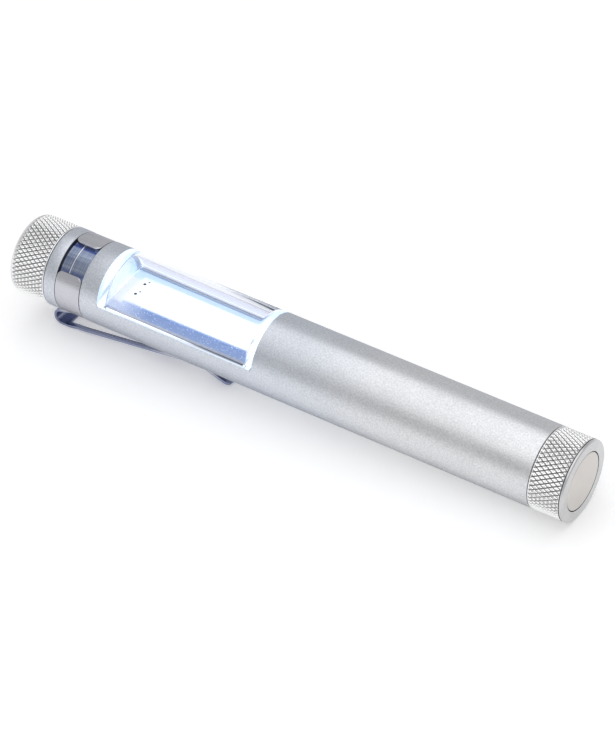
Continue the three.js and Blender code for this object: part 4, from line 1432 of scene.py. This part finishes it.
class WORKLIGHT_OT_stage(bpy.types.Operator):
    """Pale floor, soft studio light and camera"""
    bl_idname = "worklight.stage"
    bl_label = "Stage"

    def execute(self, context):
        self.floor(context.scene.worklight_finishes)
        self.dome(context.scene)
        self.lamp(context.scene)
        self.camera(context.scene)
        context.scene.view_settings.view_transform = "Standard"
        return {"FINISHED"}

    def floor(self, colours):
        """A wide floor that the work light touches with its tail's edge and its clip's arm."""
        tail = Vector((TAIL_CAP[1].x, 0, TAIL_CAP[0].z))
        arm = Vector((BEND_POINT.x + 3 * MM, 0, ARM[0].z))
        slope = (tail.z - arm.z) / (tail.x - arm.x)
        reach = 4.0
        corners = ((-reach, -reach), (reach, -reach), (reach, reach), (-reach, reach))
        form = bmesh.new()
        form.faces.new([form.verts.new((x, y, tail.z + slope * x)) for x, y in corners])
        floor = new_object("floor", finished_mesh(form, "floor"), self.floor_material(colours))

    def floor_material(self, colours):
        """A floor that looks white to the camera and in reflections, and keeps the shadow."""
        finish = Finish("pale_floor", colours.floor, Roughness=0.9)
        tree = finish.tree
        finish.shade(finish.grain(1.5 * MM)["Tone"], 0.995, 1.0)
        seen = self.seen_rays(tree)
        glow = put(tree, "ShaderNodeEmission", Strength=0.25)
        dark = put(tree, "ShaderNodeEmission", Strength=0.0)
        shown = put(tree, "ShaderNodeMixShader", _0=seen, _1=dark.outputs[0], _2=glow.outputs[0])
        both = put(tree, "ShaderNodeAddShader", _0=finish.shader.outputs[0], _1=shown.outputs[0])
        tree.links.new(both.outputs[0], tree.nodes["Material Output"].inputs["Surface"])
        return finish.material

    def seen_rays(self, tree):
        """1 for rays from the camera and for those seen in metal and glass."""
        path = put(tree, "ShaderNodeLightPath").outputs
        either = calc(tree, "MAXIMUM", path["Is Camera Ray"], path["Is Glossy Ray"])
        return calc(tree, "MAXIMUM", either, path["Is Transmission Ray"])

    def dome(self, scene):
        """A soft dome, brightest at the horizon behind the work light."""
        world = bpy.data.worlds.new("studio_dome")
        world.use_nodes = True
        scene.world = world
        tree = world.node_tree
        direction = put(tree, "ShaderNodeTexCoord").outputs["Generated"]
        axes = put(tree, "ShaderNodeSeparateXYZ", Vector=direction).outputs
        front, back, zenith = (0.55, 0.55, 0.555), (0.74, 0.74, 0.745), (0.47, 0.475, 0.49)
        behind = ramp(tree, axes["Y"], -0.1, 0.5, smooth=True)
        above = ramp(tree, axes["Z"], 0.15, 0.85, smooth=True)
        horizon = blend_colours(tree, behind, front, back)
        shade = blend_colours(tree, above, horizon, zenith)
        soft = put(tree, "ShaderNodeBackground", Color=shade, Strength=1.0)
        tree.links.new(soft.outputs[0], tree.nodes["World Output"].inputs["Surface"])

    def lamp(self, scene):
        """One broad soft box overhead."""
        middle = (Vector(cad_box[0]) + Vector(cad_box[1])) / 2
        light = bpy.data.lights.new("overhead_box", "AREA")
        light.shape = "RECTANGLE"
        light.size = 0.8
        light.size_y = 1.5
        light.energy = 3.5
        lamp = bpy.data.objects.new("overhead_box", light)
        lamp.location = middle + Vector((0.02, -0.1, 0.7))
        lamp.rotation_mode = "QUATERNION"
        lamp.rotation_quaternion = (middle - lamp.location).to_track_quat("-Z", "Y")
        scene.collection.objects.link(lamp)

    def camera(self, scene):
        """The photograph's viewpoint, fitted to the barrel's outline, for 615 by 735 pixels."""
        image_height = 735
        focal_pixels = 3600
        data = bpy.data.cameras.new("camera")
        data.sensor_width = 36
        data.lens = focal_pixels / image_height * data.sensor_width
        data.clip_start = 0.01
        data.clip_end = 20
        camera = bpy.data.objects.new("camera", data)
        scene.collection.objects.link(camera)
        back = Vector((0.40267757, -0.63525064, 0.65902004))
        right = Vector((0.84460736, 0.53538622, 0))
        up = back.cross(right)
        turn = Matrix((right, up, back)).transposed().to_4x4()
        place = Matrix.Translation(Vector((184.167, -371.144, 384.814)) * MM)
        camera.matrix_world = place @ turn
        scene.camera = camera


class WORKLIGHT_PT_panel(bpy.types.Panel):
    """Sizes, finishes and builders of the work light"""
    bl_idname = "WORKLIGHT_PT_panel"
    bl_label = "Work Light"
    bl_space_type = "VIEW_3D"
    bl_region_type = "UI"
    bl_category = "Work Light"

    def draw(self, context):
        layout = self.layout
        for name in SETTINGS:
            group = getattr(context.scene, name)
            for key in group.__annotations__:
                layout.prop(group, key)
        for operator in OPERATORS:
            layout.operator(operator.bl_idname)


SETTINGS = {
    "worklight_turning": WorkLightTurning,
    "worklight_knurl": WorkLightKnurl,
    "worklight_clip": WorkLightClip,
    "worklight_finishes": WorkLightFinishes,
}
OPERATORS = (
    WORKLIGHT_OT_barrel,
    WORKLIGHT_OT_lens,
    WORKLIGHT_OT_caps,
    WORKLIGHT_OT_magnet,
    WORKLIGHT_OT_spring,
    WORKLIGHT_OT_clip,
    WORKLIGHT_OT_strip,
    WORKLIGHT_OT_inner_pieces,
    WORKLIGHT_OT_stage,
)


def register():
    for cls in (*SETTINGS.values(), *OPERATORS, WORKLIGHT_PT_panel):
        bpy.utils.register_class(cls)
    for name, cls in SETTINGS.items():
        setattr(bpy.types.Scene, name, PointerProperty(type=cls))


def unregister():
    for name in SETTINGS:
        delattr(bpy.types.Scene, name)
    for cls in (WORKLIGHT_PT_panel, *reversed(OPERATORS), *reversed(SETTINGS.values())):
        bpy.utils.unregister_class(cls)


def main():
    register()
    bpy.ops.worklight.barrel()
    bpy.ops.worklight.lens()
    bpy.ops.worklight.caps()
    bpy.ops.worklight.magnet()
    bpy.ops.worklight.spring()
    bpy.ops.worklight.clip()
    bpy.ops.worklight.strip()
    bpy.ops.worklight.inner_pieces()
    bpy.ops.worklight.stage()


if __name__ == "__main__":
    main()
